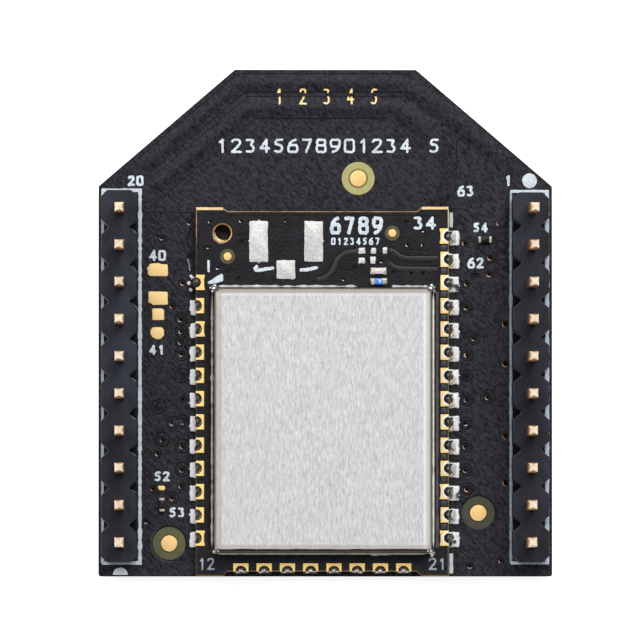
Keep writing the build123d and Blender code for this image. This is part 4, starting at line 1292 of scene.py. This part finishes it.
strip = {"ways": 10, "cornerCut": 0.34, "notchDepth": 0.38, "notchOpening": 0.82, "notchFloor": 0.08,
         "pitch": 2.0, "edge": 0.05, "spread": 0.06, "rightTrim": 0.12, "rightShift": 0.08,
         "rightDeeper": 0.06}
pinForm = {"width": 0.5, "tipLength": 0.16, "tipTaper": 0.09, "pinch": 0.11, "leftLean": 0.02,
           "rightLean": (-0.08, 0.08), "leanAlong": 0.0075, "leanShift": 0.015}


def stripRing(middleX, middleY, trim, shift, deeper):
    # Counter-clockwise outline: cut corners and a wedge-shaped notch between neighbouring pins; the
    # aerial end can be trimmed, the notches shifted along and cut deeper
    half = (stripHigh[0] - stripLow[0]) / 2
    length = stripHigh[1] - stripLow[1]
    cut, depth, opening, floor = (strip[k] for k in ("cornerCut", "notchDepth", "notchOpening", "notchFloor"))
    cells = int(round(length / strip["pitch"]))
    notches = -length / 2 + np.arange(1, cells) * strip["pitch"]
    depth += deeper
    wedge = np.array([(0, -opening / 2), (-depth, -floor / 2), (-depth, floor / 2), (0, opening / 2)])
    right = np.concatenate([wedge + (half, y) for y in notches])
    right = np.vstack([[(half - cut, -length / 2), (half, -length / 2 + cut)], right,
                       [(half, length / 2 - cut), (half - cut, length / 2)]])
    ring = np.concatenate([right, -right])
    inner = np.abs(ring[:, 1]) < length / 2 - cut - 0.01
    ring[inner, 1] += shift
    ring[ring[:, 1] > length / 2 - cut - 0.01, 1] -= trim
    return ring + (middleX, middleY)


def pinShape():
    # A square section, pinched in at its sides near the tip, carried up the pin
    count = 32
    half, taper, tip = pinForm["width"] / 2, pinForm["tipTaper"], pinForm["tipLength"]
    side = np.linspace(-1, 1, count // 4, endpoint=False)
    one = np.ones_like(side)
    sides = ((side, -one), (one, side), (-side, one), (-one, -side))
    square = np.concatenate([np.stack(pair, 1) for pair in sides])
    corner = np.abs(square).min(1)
    low, high = pinLow[2], pinHigh[2]
    levels = [(low, half - taper, 0.3), (low + tip, half, 0), (high - 2.2 * tip, half, 0),
              (high - tip, half - 0.005, 0.6), (high - 0.03, half - 0.02, 1.2), (high, half - 0.05, 1.2)]
    rings = []
    for z, reach, pinch in levels:
        squeeze = 1 - pinch * pinForm["pinch"] * 2.6 * (1 - corner ** 2)
        rings.append(lift(square * reach * squeeze[:, None], z))
    return stackRings(np.stack(rings))


def makeStrips():
    # Each strip is its notched outline between its box's heights
    for name, node in (("stripLeft", "header_strip_left"), ("stripRight", "header_strip_right")):
        low, high = nodeBox(node)
        middle = (low + high) / 2
        x = middle[0] + math.copysign(strip["spread"], middle[0])
        changes = [strip[k] * (middle[0] > 0) for k in ("rightTrim", "rightShift", "rightDeeper")]
        ring = stripRing(x, middle[1], *changes)
        cutPlate(name, [ring], low[2] + 0.001, high[2], headerPlastic, [node],
                 edge=strip["edge"])


def makePins():
    # Each pin is stamped at its place, then leans in proportion to its height above the strip
    shape = pinShape()
    for number in range(1, 2 * strip["ways"] + 1):
        node = f"pin_{number:02d}"
        low, high = nodeBox(node)
        middle = (low + high) / 2
        lean = pinForm["leftLean"]
        if middle[0] > 0:
            lean = np.interp(middle[1], [stripLow[1], stripHigh[1]], pinForm["rightLean"])
        middle[0] += math.copysign(strip["spread"], middle[0])
        points, faces, caps = stamp(shape, *middle[:2], turn=rng.normal(0, 1.5))
        climb = np.clip((points[:, 2] - stripHigh[2]) / (pinHigh[2] - stripHigh[2]), 0, 1)
        along = pinForm["leanShift"] - pinForm["leanAlong"] * (middle[1] - (stripLow[1] + stripHigh[1]) / 2)
        points[:, 0] += lean * climb
        points[:, 1] += along * climb
        newPiece(f"pin{number:02d}", (points, faces, caps), goldPin, [node], sharp=40)


def makeNotchShade():
    # The board under each notch that faces inwards gets a dark plate of painted shadow, and pale hair lines of
    # painted glint run beside the left ones
    wedge = np.array([(0.16, -0.42), (0.16, 0.42), (-0.34, 0.06), (-0.34, -0.06)])
    shade = plate(wedge, carrierTop - 0.01, carrierTop + 0.003, 0.002)
    notches = stripLow[1] + np.arange(1, strip["ways"]) * strip["pitch"]
    leftX = stripHigh[0] - strip["spread"]
    rightX = nodeBox("header_strip_right")[0][0] + strip["spread"]
    shapes = [stamp(shade, leftX - 0.16, notches), stamp(shade, rightX + 0.16, notches, 0, 180)]
    newPiece("notchShade", shapes, gapAndShadeLacquer)
    # Pale hair lines along the left notches: painted glints
    hair = ribbon([(-0.30, -0.16), (0.0, -0.42)], ridge(0.012, 0.008, -0.01, 0.0), step=0.05, wander=0.3,
                  taper=0.2)
    top = stripHigh[2] + 0.004
    lines = [stamp(hair, leftX - offset, y + offset * 0.8, top, rng.normal(0, 3), rng.uniform(0.7, 1.0))
             for y in notches[1:] for offset in (0.0, 0.07)]
    newPiece("notchGlints", lines, dimPrintAndGlint)


makeStrips()
makePins()
makeNotchShade()
print("headers made")


# Bare lands, targets and small parts

targets = {"disc": 0.44, "innerRing": (0.42, 0.53), "outerRing": (0.40, 0.885), "halo": (0.97, 1.05),
           "shade": (0.885, 0.99), "rim": (0.43, 0.50), "glow": (0.97, 1.02), "radioDisc": 0.22,
           "radioRing": (0.22, 0.40), "radioRim": (0.215, 0.26)}


def makeTargets():
    # Gold discs in rings of bare laminate, with dark rims and, on the carrier, a raised halo round two of them
    high = nodeBox("carrier_targets")[1]
    top = carrierTop
    places = spots([(358.2, 178.3), (169.2, 543.5), (478.3, 513)], top)
    golden = raggedPlate(circleRing(targets["disc"], 48), top - 0.01, high[2], 0.02, 0.004, 0.06)
    newPiece("carrierTargets", stamp(golden, *places.T), goldDisc, ["carrier_targets"])
    # A brown ring at the top disc's border: painted shadow
    inner = annulus(*targets["innerRing"], top, top + 0.007, 0.003, 48)
    newPiece("targetRingInner", stamp(inner, *places[0]), brownRing)
    outer = annulus(*targets["outerRing"], top - 0.01, top + 0.004, 0.003, 48)
    finishes = (paleOliveRing, oliveRing, darkOliveRing)
    for side, place, finishOf in zip(("Top", "Left", "Right"), places, finishes):
        newPiece("targetRing" + side, stamp(outer, *place), finishOf)
    faint = annulus(*targets["halo"], top - 0.01, top + 0.02, 0.02, 48)
    newPiece("targetHalo", stamp(faint, *places[1:].T), boardMask)
    # A dark crescent of painted shadow over the upper side of two rings, and a dark rim round their discs
    shade = collarShape(*targets["shade"], -25, 170, 0.003, 0.1)
    rim = collarShape(*targets["rim"], 0, 359, 0.007, 0.05)
    shapes = [stamp(shade, *places[1:].T, top), stamp(rim, *places[1:].T, top)]
    newPiece("targetShades", shapes, gapAndShadeLacquer)
    # A pale arc on the left of the left target's halo: painted highlight
    glow = collarShape(*targets["glow"], 110, 290, 0.012, 0.3)
    newPiece("targetGlow", stamp(glow, *places[1], top + 0.012), highlightLacquer)
    radioPlaces = spots([(227.5, 256.4), (392.4, 233)], radioTop)
    rim = collarShape(*targets["radioRim"], 0, 359, 0.009, 0.08)
    newPiece("radioTargetRims", stamp(rim, *radioPlaces.T, radioTop), laminateDark)
    small = raggedPlate(circleRing(targets["radioDisc"], 32), radioTop - 0.01, landTop, 0.015, 0.003, 0.05)
    newPiece("radioTargets", stamp(small, *radioPlaces.T), goldDisc, ["radio_targets"])
    ring = annulus(*targets["radioRing"], radioTop - 0.01, radioTop + 0.004, 0.003, 40)
    newPiece("radioTargetRings", stamp(ring, *radioPlaces.T), smallRing)


def pixelBox(x0, y0, x1, y1, level):
    # Middle, width and length of a rectangle measured on the photo
    (lowX, highY), (highX, lowY) = spots([(x0, y0), (x1, y1)], level)
    return (lowX + highX) / 2, (lowY + highY) / 2, highX - lowX, highY - lowY


def landAt(box, low, high, radius, rag, edge):
    # A ragged plate over a box of middle, width and length
    x, y, width, length = box
    return stamp(raggedPlate(boxRing(width, length, radius), low, high, edge, rag, 0.07), x, y)


def makeLands():
    # Ragged plates over outlines and boxes measured on the photo
    top = carrierTop
    outlines = [
        [(149.8, 263.9), (154, 263.3), (158.8, 263.2), (159.8, 264), (167, 264.2), (167.8, 265.5),
         (167.8, 275.4), (166.9, 276.2), (150, 276.2), (147.4, 274), (148, 271), (146.5, 268.7),
         (148.4, 266.4)],
        [(148.6, 291.6), (167.6, 291.7), (167.8, 304.8), (152.5, 305), (151.5, 303.6), (148.4, 302.8)],
        [(152.4, 308.6), (162.5, 308.6), (162.8, 309.6), (164, 310), (164, 320), (152.4, 320.2)],
        [(152.6, 327.3), (161.6, 327.3), (164, 330), (164, 335), (161.2, 338.6), (158.4, 339.4),
         (155.6, 339.2), (152.4, 337.2), (150.4, 334), (150.6, 330)],
        [(158.5, 486), (164.5, 485.8), (165.4, 488), (164, 490.4), (159.5, 490.4), (158, 488)],
    ]
    shapes = []
    for outline in outlines:
        ring = roundCorners(spots(outline, top)[::-1], 0.035)
        shapes.append(raggedPlate(ring, top - 0.01, top + contacts["copper"], 0.015, 0.004, 0.06))
    newPiece("carrierGoldLands", shapes, goldLand, ["carrier_gold_lands"])
    high = nodeBox("socket_lands")[1][2]
    socketBoxes = [(249.3, 220.9, 268, 262.2), (304.3, 221, 323, 261.7), (276.6, 260.3, 295.2, 278.9)]
    shapes = [landAt(pixelBox(*b, radioTop), radioTop - 0.01, high, 0.05, 0.008, 0.025) for b in socketBoxes]
    nubs = spots([(259, 221), (259, 262), (249.6, 241), (322.8, 241), (292.5, 278.6)], radioTop)
    shapes.append(stamp(plate(circleRing(0.07, 16), radioTop - 0.01, high - 0.01, 0.02), *nubs.T))
    newPiece("socketLands", shapes, tinnedLand, ["socket_lands"])
    matchBoxes = [(358.3, 247.8, 365.4, 253.6), (358.3, 257.9, 365, 263.6), (370.7, 247.8, 376, 253.6),
                  (382.7, 247.4, 387.4, 253.6), (370.2, 256.9, 375.5, 264.1)]
    high = nodeBox("matching_lands")[1][2]
    shapes = [landAt(pixelBox(*b, radioTop), radioTop - 0.01, high, 0.03, 0.014, 0.03) for b in matchBoxes]
    newPiece("matchingLands", shapes, tinnedLand, ["matching_lands"])


def chipPieces(name, node, body, turn=0, shown=1.0, narrow=1.0, capLength=0.2, cap=None, footOut=0.14):
    # A ceramic body between two wrapped metal caps, each with rounded rims, on solder feet
    low, high = nodeBox(node)
    middle = (low + high) / 2
    size = high - low
    length, width = (size[1], size[0]) if turn else (size[0], size[1])
    length *= shown
    width *= narrow
    height = size[2]
    core = plate(boxRing(length - 0.06, width - 0.04, 0.03), 0.01, height - 0.025, 0.03)
    newPiece(name + "Body", stamp(core, middle[0], middle[1], low[2], turn), body, [node])
    end = plate(boxRing(capLength, width - 0.005, 0.05), 0.0, height - 0.002, 0.05)
    x = (length - capLength) / 2 * np.array([-1, 1])
    ends = joinShapes([stamp(end, x[0], 0), stamp(end, x[1], 0)])
    footRing = boxRing(capLength + footOut, width + footOut * 0.7, 0.08)
    foot = raggedPlate(footRing, -0.005, 0.06, 0.05, 0.012, 0.05)
    feet = joinShapes([stamp(foot, x[0] * 1.05, 0), stamp(foot, x[1] * 1.05, 0)])
    newPiece(name + "Caps", stamp(ends, middle[0], middle[1], low[2], turn), cap or creamCap, sharp=50)
    newPiece(name + "Feet", stamp(feet, middle[0], middle[1], low[2], turn), brightSolderAndGlint, sharp=60)


def makeChips():
    # Four chips of one shape, and the inductor's round mark
    chipPieces("matchingCapacitor", "matching_capacitor", paleCeramic, shown=0.88,
               footOut=0.08)
    chipPieces("matchingInductor", "matching_inductor", blueCeramic, shown=0.88, footOut=0.08)
    for name, node, turn, narrow in (("linkRight", "link_resistor_right", 0, 0.75),
                                     ("linkLeft", "link_resistor_left", 90, 0.6)):
        chipPieces(name, node, blackCeramic, turn, 0.74, narrow, 0.14, creamCap, 0.03)
    top = nodeBox("matching_inductor")[1][2]
    mark = stamp(plate(circleRing(0.07, 20), top - 0.03, top - 0.015, 0.005), *spots([(380, 281.5)], top)[0])
    newPiece("inductorMark", mark, silkPrint)


makeTargets()
makeLands()
makeChips()


# Silkscreen: plain numbers, dots, frames and bars, each a thin raised print with uneven edges

def softened(path):
    # Corner cutting, twice: a corner is replaced by points a quarter along its two sides
    path = np.asarray(path, float)
    for _ in range(2):
        ahead, behind = path[:-1] * 0.75 + path[1:] * 0.25, path[:-1] * 0.25 + path[1:] * 0.75
        path = np.vstack([path[:1], np.stack([ahead, behind], 1).reshape(-1, 2)[1:-1], path[-1:]])
    return path


digitPaths = {
    "0": [[(0.5, 0), (0.0, 0), (0.0, 0.5), (0.0, 1), (0.5, 1), (1.0, 1), (1.0, 0.5), (1.0, 0), (0.5, 0)]],
    "1": [[(0.25, 0.8), (0.55, 1)], [(0.55, 1), (0.55, 0)]],
    "2": [[(0.05, 0.85), (0.15, 1), (0.85, 1), (0.95, 0.8), (0.8, 0.55), (0.02, 0.0)],
          [(0.02, 0.0), (1.0, 0.0)]],
    "3": [[(0.1, 0.98), (0.9, 0.98), (0.5, 0.58), (0.85, 0.42), (0.85, 0.15), (0.6, 0), (0.1, 0.05)]],
    "4": [[(0.72, 1), (0.05, 0.3)], [(0.05, 0.3), (1.0, 0.3)], [(0.72, 1), (0.72, 0)]],
    "5": [[(0.9, 1), (0.18, 1), (0.14, 0.58), (0.6, 0.62), (0.9, 0.4), (0.8, 0.08), (0.4, 0), (0.1, 0.08)]],
    "6": [[(0.8, 1), (0.3, 0.85), (0.0, 0.5), (0.0, 0.0), (0.5, 0), (1.0, 0.0), (1.0, 0.56), (0.5, 0.58),
           (0.05, 0.5)]],
    "7": [[(0.05, 1), (0.95, 1)], [(0.95, 1), (0.4, 0)]],
    "8": [[(0.5, 0.54), (0.05, 0.56), (0.05, 1), (0.5, 1), (0.95, 1), (0.95, 0.56), (0.5, 0.54)],
          [(0.5, 0.54), (0.0, 0.54), (0.0, 0), (0.5, 0), (1.0, 0), (1.0, 0.54), (0.5, 0.54)]],
    "9": [[(0.2, 0), (0.7, 0.15), (1.0, 0.5), (1.0, 1.0), (0.5, 1), (0.0, 1.0), (0.0, 0.44), (0.5, 0.42),
           (0.95, 0.5)]],
}


def printField(paths, width, level):
    # Strokes as one grid: points farther off than half a width are drawn back onto the edge, and a
    # ripple of three sines makes that edge uneven
    step = 0.026
    corners = np.concatenate(paths)
    low, high = corners.min(0) - width, corners.max(0) + width
    gridX, gridY = np.meshgrid(np.arange(low[0], high[0], step), np.arange(low[1], high[1], step))
    best = np.full(gridX.shape, 9.0)
    nearX, nearY = gridX.copy(), gridY.copy()
    for path in paths:
        for start, end in zip(path[:-1], path[1:]):
            run = end - start
            along = (gridX - start[0]) * run[0] + (gridY - start[1]) * run[1]
            share = np.clip(along / max(run @ run, 1e-9), 0, 1)
            x, y = start[0] + share * run[0], start[1] + share * run[1]
            distance = np.hypot(gridX - x, gridY - y)
            nearX, nearY = np.where(distance < best, x, nearX), np.where(distance < best, y, nearY)
            best = np.minimum(distance, best)
    ripple = np.sin(gridX * 31 + gridY * 9) + np.sin(gridY * 37 - gridX * 13) + np.sin(gridX * 17 + gridY * 23)
    edge = width / 2 * (1 + 0.07 * ripple)
    pull = np.minimum(1, edge / np.maximum(best, 1e-6))
    height = level + np.where(best < edge, 0.010, 0.003)
    x, y = nearX + (gridX - nearX) * pull, nearY + (gridY - nearY) * pull
    points = np.stack([x, y, height], -1).reshape(-1, 3)
    faces = gridFaces(*gridX.shape, closeColumns=False)
    keep = (best < edge).ravel()[faces].any(1)
    used, faces = np.unique(faces[keep], return_inverse=True)
    return points[used], faces.reshape(-1, 4), []


def printNumber(text, box, level, width):
    # Each digit is a few softened strokes on a unit cell, fitted into the box in photo pixels
    x, y, total, height = pixelBox(*box, level)
    gap = 0.16 * total / len(text) if len(text) > 1 else 0
    cell = (total - gap * (len(text) - 1)) / len(text)
    shapes = []
    for place, digit in enumerate(text):
        offset = np.array([x - total / 2 + place * (cell + gap) + width / 2, y - height / 2 + width / 2])
        paths = [softened(path) * (cell - width, height - width) + offset for path in digitPaths[digit]]
        shapes.append(printField(paths, width, level))
    return shapes


def printRow(text, x, high, low, width, pitch, level, thickness):
    # One digit in each cell of a row, all of a size
    shapes = []
    for place, digit in enumerate(text):
        start = x + place * pitch
        shapes += printNumber(digit, (start, high, start + width, low), level, thickness)
    return shapes


def framePrint(x0, y0, x1, y1, width, sides, wander, level):
    # The named sides of a rectangle, each from corner to corner in photo pixels
    corners = {"top": [(x0, y0), (x1, y0)], "right": [(x1, y0), (x1, y1)], "bottom": [(x1, y1), (x0, y1)],
               "left": [(x0, y1), (x0, y0)]}
    heights = {side: level + 0.014 + 0.001 * rank for rank, side in enumerate(corners)}
    return [stroke(spots(corners[side], level), width, level - 0.005, heights[side], wander=wander)
            for side in corners if side in sides]


def withoutBand(shape, low, high):
    # A print shape with the faces between two heights on the board left out
    points, faces, caps = shape
    middle = points[faces][:, :, 1].mean(1)
    return points, faces[(middle < low) | (middle > high)], caps


def makeCarrierPrint():
    top = carrierTop
    frames = [
        (101.8, 190.4, 140, 563, 0.2, "top bottom", 0.07),
        (101.8, 188.6, 140, 564.8, 0.2, "right", 0.14),
        (102.6, 189, 140, 563, 0.16, "left", 0.07),
        (511, 191.2, 549, 563, 0.17, "top bottom", 0.07),
        (511, 190.5, 547.2, 563, 0.24, "right", 0.07),
    ]
    shapes = []
    for values in frames:
        shapes += framePrint(*values, top)
    numbers = {"20": (127.5, 175.5, 143.5, 186, 0.135), "1": (505.5, 175, 511.5, 186, 0.14),
               "40": (149, 250, 166, 261, 0.13), "41": (149, 345, 165, 355, 0.13),
               "52": (154, 471.5, 170, 481.5, 0.12), "53": (169, 507.5, 185, 517.5, 0.12),
               "54": (473, 222.5, 488, 232.5, 0.12), "62": (467.5, 257.5, 484, 268.5, 0.13),
               "63": (457.5, 185.5, 474, 196.5, 0.13)}
    for number, (*box, width) in numbers.items():
        shapes += printNumber(number, box, top, width)
    dot = spots([(529.8, 180.6)], top)[0]
    shapes.append(stamp(raggedPlate(circleRing(0.40, 48), top - 0.005, top + 0.016, 0.012, 0.006, 0.06), *dot))
    half = spots([(120.5, 574.5)], top)[0]
    arch = plate(arcLine(0.40, 0, 180, 19), top - 0.005, top + 0.016, 0.012)
    arch = stamp(arch, half[0], carrierLow[1] + 0.06)
    # The half dot is printed whiter than the rest: painted light against the strip's shadow
    newPiece("carrierHalfDot", arch, silkBright)
    shapes += framePrint(451.3, 212.4, 451.3, 227.3, 0.2, "right", 0.07, top)
    shapes += framePrint(451.3, 553.5, 451.3, 573.5, 0.2, "right", 0.07, top)
    newPiece("carrierPrint", drape(joinShapes(shapes)), silkPrint)
    dim = framePrint(511, 190.5, 511, 563, 0.17, "right", 0.14, top)
    dim.append(stroke(spots([(187.5, 259), (189, 264), (190, 271)], top), 0.06, top - 0.005, top + 0.012))
    newPiece("carrierPrintDim", dim, dimPrintAndGlint)
    shapes = []
    for text, x in (("12345678901", 216.5), ("234", 371.5), ("5", 428.5)):
        shapes += printRow(text, x, 138.5, 153, 11.2, 14.15, top, 0.125)
    newPiece("carrierPrintRow", drape(joinShapes(shapes)), silkPrint)
    bandHigh, bandLow = spots([(325, 92.6), (325, 96.4)], top)[:, 1]
    shapes = [withoutBand(shape, bandLow, bandHigh)
              for shape in printRow("12345", 275.5, 88.4, 104.4, 7.6, 23.7, top, 0.095)]
    newPiece("carrierGoldMarks", drape(joinShapes(shapes)), goldLand)


def makeRadioPrint():
    top = radioTop
    shapes = printNumber("34", (412.8, 216.3, 436.2, 229.7), top, 0.14)
    thin = printNumber("12", (198.5, 558, 214.5, 570), top, 0.09)
    thin += printNumber("21", (428.5, 558, 446.5, 570), top, 0.09)
    newPiece("radioPrintThin", thin, dimPrintAndGlint)
    marks = [[(256.4, 266.8), (254.9, 268.6), (256.2, 270.4), (260, 270), (272.4, 268.2)],
             [(301.2, 270), (309, 269.4), (316.2, 267.8)]]
    shapes.append(printField([spots(mark, top) for mark in marks], 0.185, top))
    bar = pixelBox(207.4, 260.3, 209.8, 272.2, top)
    shapes.append(landAt(bar, top - 0.005, top + 0.016, 0.03, 0.01, 0.01))
    wedge = spots([(207.3, 282.3), (209, 284), (223.4, 281.5), (222.9, 274.6), (221.4, 273.6)], top)
    shapes.append(raggedPlate(roundCorners(wedge, 0.04), top - 0.005, top + 0.018, 0.012, 0.014, 0.07))
    shapes += printRow("6789", 330, 216.5, 234.5, 11, 14, top, 0.19)
    shapes += printRow("01234567", 331, 237.6, 245, 4.6, 6.3, top, 0.085)
    newPiece("radioPrint", shapes, silkPrint)


def makeRadioRelief():
    # Covered tracks as ridges and the bare gaps beside them
    tracks = [
        [(357.9, 250.8), (345.6, 252.7), (338, 258), (334.9, 265.8), (331.8, 271.9), (324.2, 278),
         (317, 279.3)],
        [(389, 250.2), (394, 251.5), (400, 256.5), (406, 258.2), (438, 258.2)],
        [(389, 263.2), (393, 266.5), (399, 268.6), (438, 269.2)],
    ]
    gaps = [
        [(357.9, 247.6), (344, 249.2), (334.5, 256.5), (331, 264.6), (327.5, 270.5), (322, 275.2),
         (315, 276.4)],
        [(353, 254), (346.5, 255.2), (341, 259.5), (338.3, 266.5), (335, 274)],
        [(408, 249.8), (430, 249.8)],
        [(391, 246.9), (396, 248.6), (402.4, 254), (406, 255.5), (438, 255.5)],
        [(388, 253.5), (392.5, 255.3), (398.6, 259.6), (405, 261.4), (438, 261.4)],
        [(391, 259.5), (396, 264), (402, 265.6), (438, 266)],
        [(388, 266.5), (392, 270.3), (399, 272), (405, 272.2)],
        [(229, 215), (440, 215)],
    ]
    shapes = [ridgeLine(line, radioTop, 0.16, 0.012) for line in tracks]
    newPiece("radioTracks", shapes, trackLacquer, sharp=60)
    newPiece("radioGaps", [gapLine(line, radioTop, 0.05) for line in gaps], gapAndShadeLacquer)


makeCarrierPrint()
makeRadioPrint()
makeRadioRelief()
print("print made")


# Back: a waisted solder cone round each pin tail

def makeTailSolder():
    # One cone, turned at random, at each of a row's evenly spaced tails
    waist = [(0.64, 0.0), (0.63, -0.02), (0.50, -0.10), (0.40, -0.22), (0.34, -0.34), (0.30, -0.415)]
    cone = turned(waist[::-1], 24)
    for side, node in (("Left", "tail_solder_left"), ("Right", "tail_solder_right")):
        low, high = nodeBox(node)
        half = (high[0] - low[0]) / 2
        y = np.linspace(low[1] + half, high[1] - half, strip["ways"])
        cones = stamp(cone, (low[0] + high[0]) / 2, y, carrierBack, rng.uniform(0, 90, strip["ways"]))
        newPiece("tailSolder" + side, cones, brightSolderAndGlint, [node], sharp=60)


makeTailSolder()
print("back made")


# Hidden pieces under the can keep their own solids

hidden = {"radio_chip": blackEpoxy, "main_crystal": innerMetal, "clock_crystal": innerMetal,
          "power_inductor": blackCeramic, "decoupling_capacitors": paleCeramic, "filter_parts": paleCeramic}
for node, finishOf in hidden.items():
    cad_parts[node].data.materials.clear()
    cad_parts[node].data.materials.append(finishOf)


# Stage: a white floor that keeps the shadow, soft lamps and the camera

stage = {"floorSize": 0.6, "floorGlow": 0.75, "worldStrength": 0.32}
lamps = {
    "keyLamp": {"place": (0.17, 0.46, 0.70), "size": (0.50, 0.50), "power": 5.9},
    "fillLamp": {"place": (-0.46, 0.26, 0.66), "size": (0.40, 0.50), "power": 2.6},
}
viewpoint = {"aimX": -0.29, "aimY": 0.16, "lens": 606.0, "sensor": 36.0}


def makeFloor():
    # A white sheet that glows a little for the camera, for mirrors and for what is seen through glass
    half = stage["floorSize"] / 2
    mesh = bpy.data.meshes.new("floor")
    corners = [(-half, -half, 0), (half, -half, 0), (half, half, 0), (-half, half, 0)]
    mesh.from_pydata(corners, [], [(0, 1, 2, 3)])
    material = bpy.data.materials.new("floorWhite")
    material.use_nodes = True
    tree = material.node_tree
    shader = tree.nodes["Principled BSDF"]
    for label, value in (("Base Color", (0.93, 0.93, 0.93, 1)), ("Roughness", 0.9),
                         ("Emission Color", (1, 1, 1, 1))):
        shader.inputs[label].default_value = value
    path = addNode(tree, "LightPath")
    seen = addNode(tree, "Math", operation="ADD")
    seenThrough = addNode(tree, "Math", operation="ADD", use_clamp=True)
    glow = addNode(tree, "Math", {1: stage["floorGlow"]}, operation="MULTIPLY")
    wire(tree, (path, "Is Camera Ray", seen, 0), (path, "Is Glossy Ray", seen, 1), (seen, 0, seenThrough, 0),
         (path, "Is Transmission Ray", seenThrough, 1), (seenThrough, 0, glow, 0),
         (glow, 0, shader, "Emission Strength"))
    mesh.materials.append(material)
    floor = bpy.data.objects.new("floor", mesh)
    scene.collection.objects.link(floor)


def makeLamp(name, place, size, power):
    # A rectangular lamp at its place, facing the origin
    lamp = bpy.data.lights.new(name, "AREA")
    lamp.shape = "RECTANGLE"
    lamp.size, lamp.size_y = size
    lamp.energy = power
    holder = bpy.data.objects.new(name, lamp)
    holder.location = place
    direction = Vector((0, 0, 0)) - Vector(place)
    holder.rotation_euler = direction.to_track_quat("-Z", "Y").to_euler()
    scene.collection.objects.link(holder)


def makeCamera():
    # The camera stands over the photo's nadir and looks almost straight down, with Y upwards in its picture
    camera = bpy.data.cameras.new("camera")
    camera.lens = viewpoint["lens"]
    camera.sensor_width = viewpoint["sensor"]
    camera.clip_start = 0.01
    camera.clip_end = 10
    holder = bpy.data.objects.new("camera", camera)
    eye = Vector((photo["nadirX"], photo["nadirY"], photo["cameraHeight"] + carrierTop)) * mm
    aim = Vector((viewpoint["aimX"], viewpoint["aimY"], carrierTop)) * mm
    holder.location = eye
    forward = (aim - eye).normalized()
    right = forward.cross(Vector((0, 1, 0))).normalized()
    up = right.cross(forward)
    holder.matrix_world = Matrix([[right.x, up.x, -forward.x, eye.x], [right.y, up.y, -forward.y, eye.y],
                                  [right.z, up.z, -forward.z, eye.z], [0, 0, 0, 1]])
    scene.collection.objects.link(holder)
    scene.camera = holder


def makeWorld():
    world = bpy.data.worlds.new("studio")
    world.use_nodes = True
    world.node_tree.nodes["Background"].inputs["Color"].default_value = (0.95, 0.97, 1.0, 1)
    world.node_tree.nodes["Background"].inputs["Strength"].default_value = stage["worldStrength"]
    scene.world = world


makeFloor()
for lampName, lamp in lamps.items():
    makeLamp(lampName, lamp["place"], lamp["size"], lamp["power"])
makeWorld()
makeCamera()
scene.view_settings.view_transform = "Standard"
print("stage set")
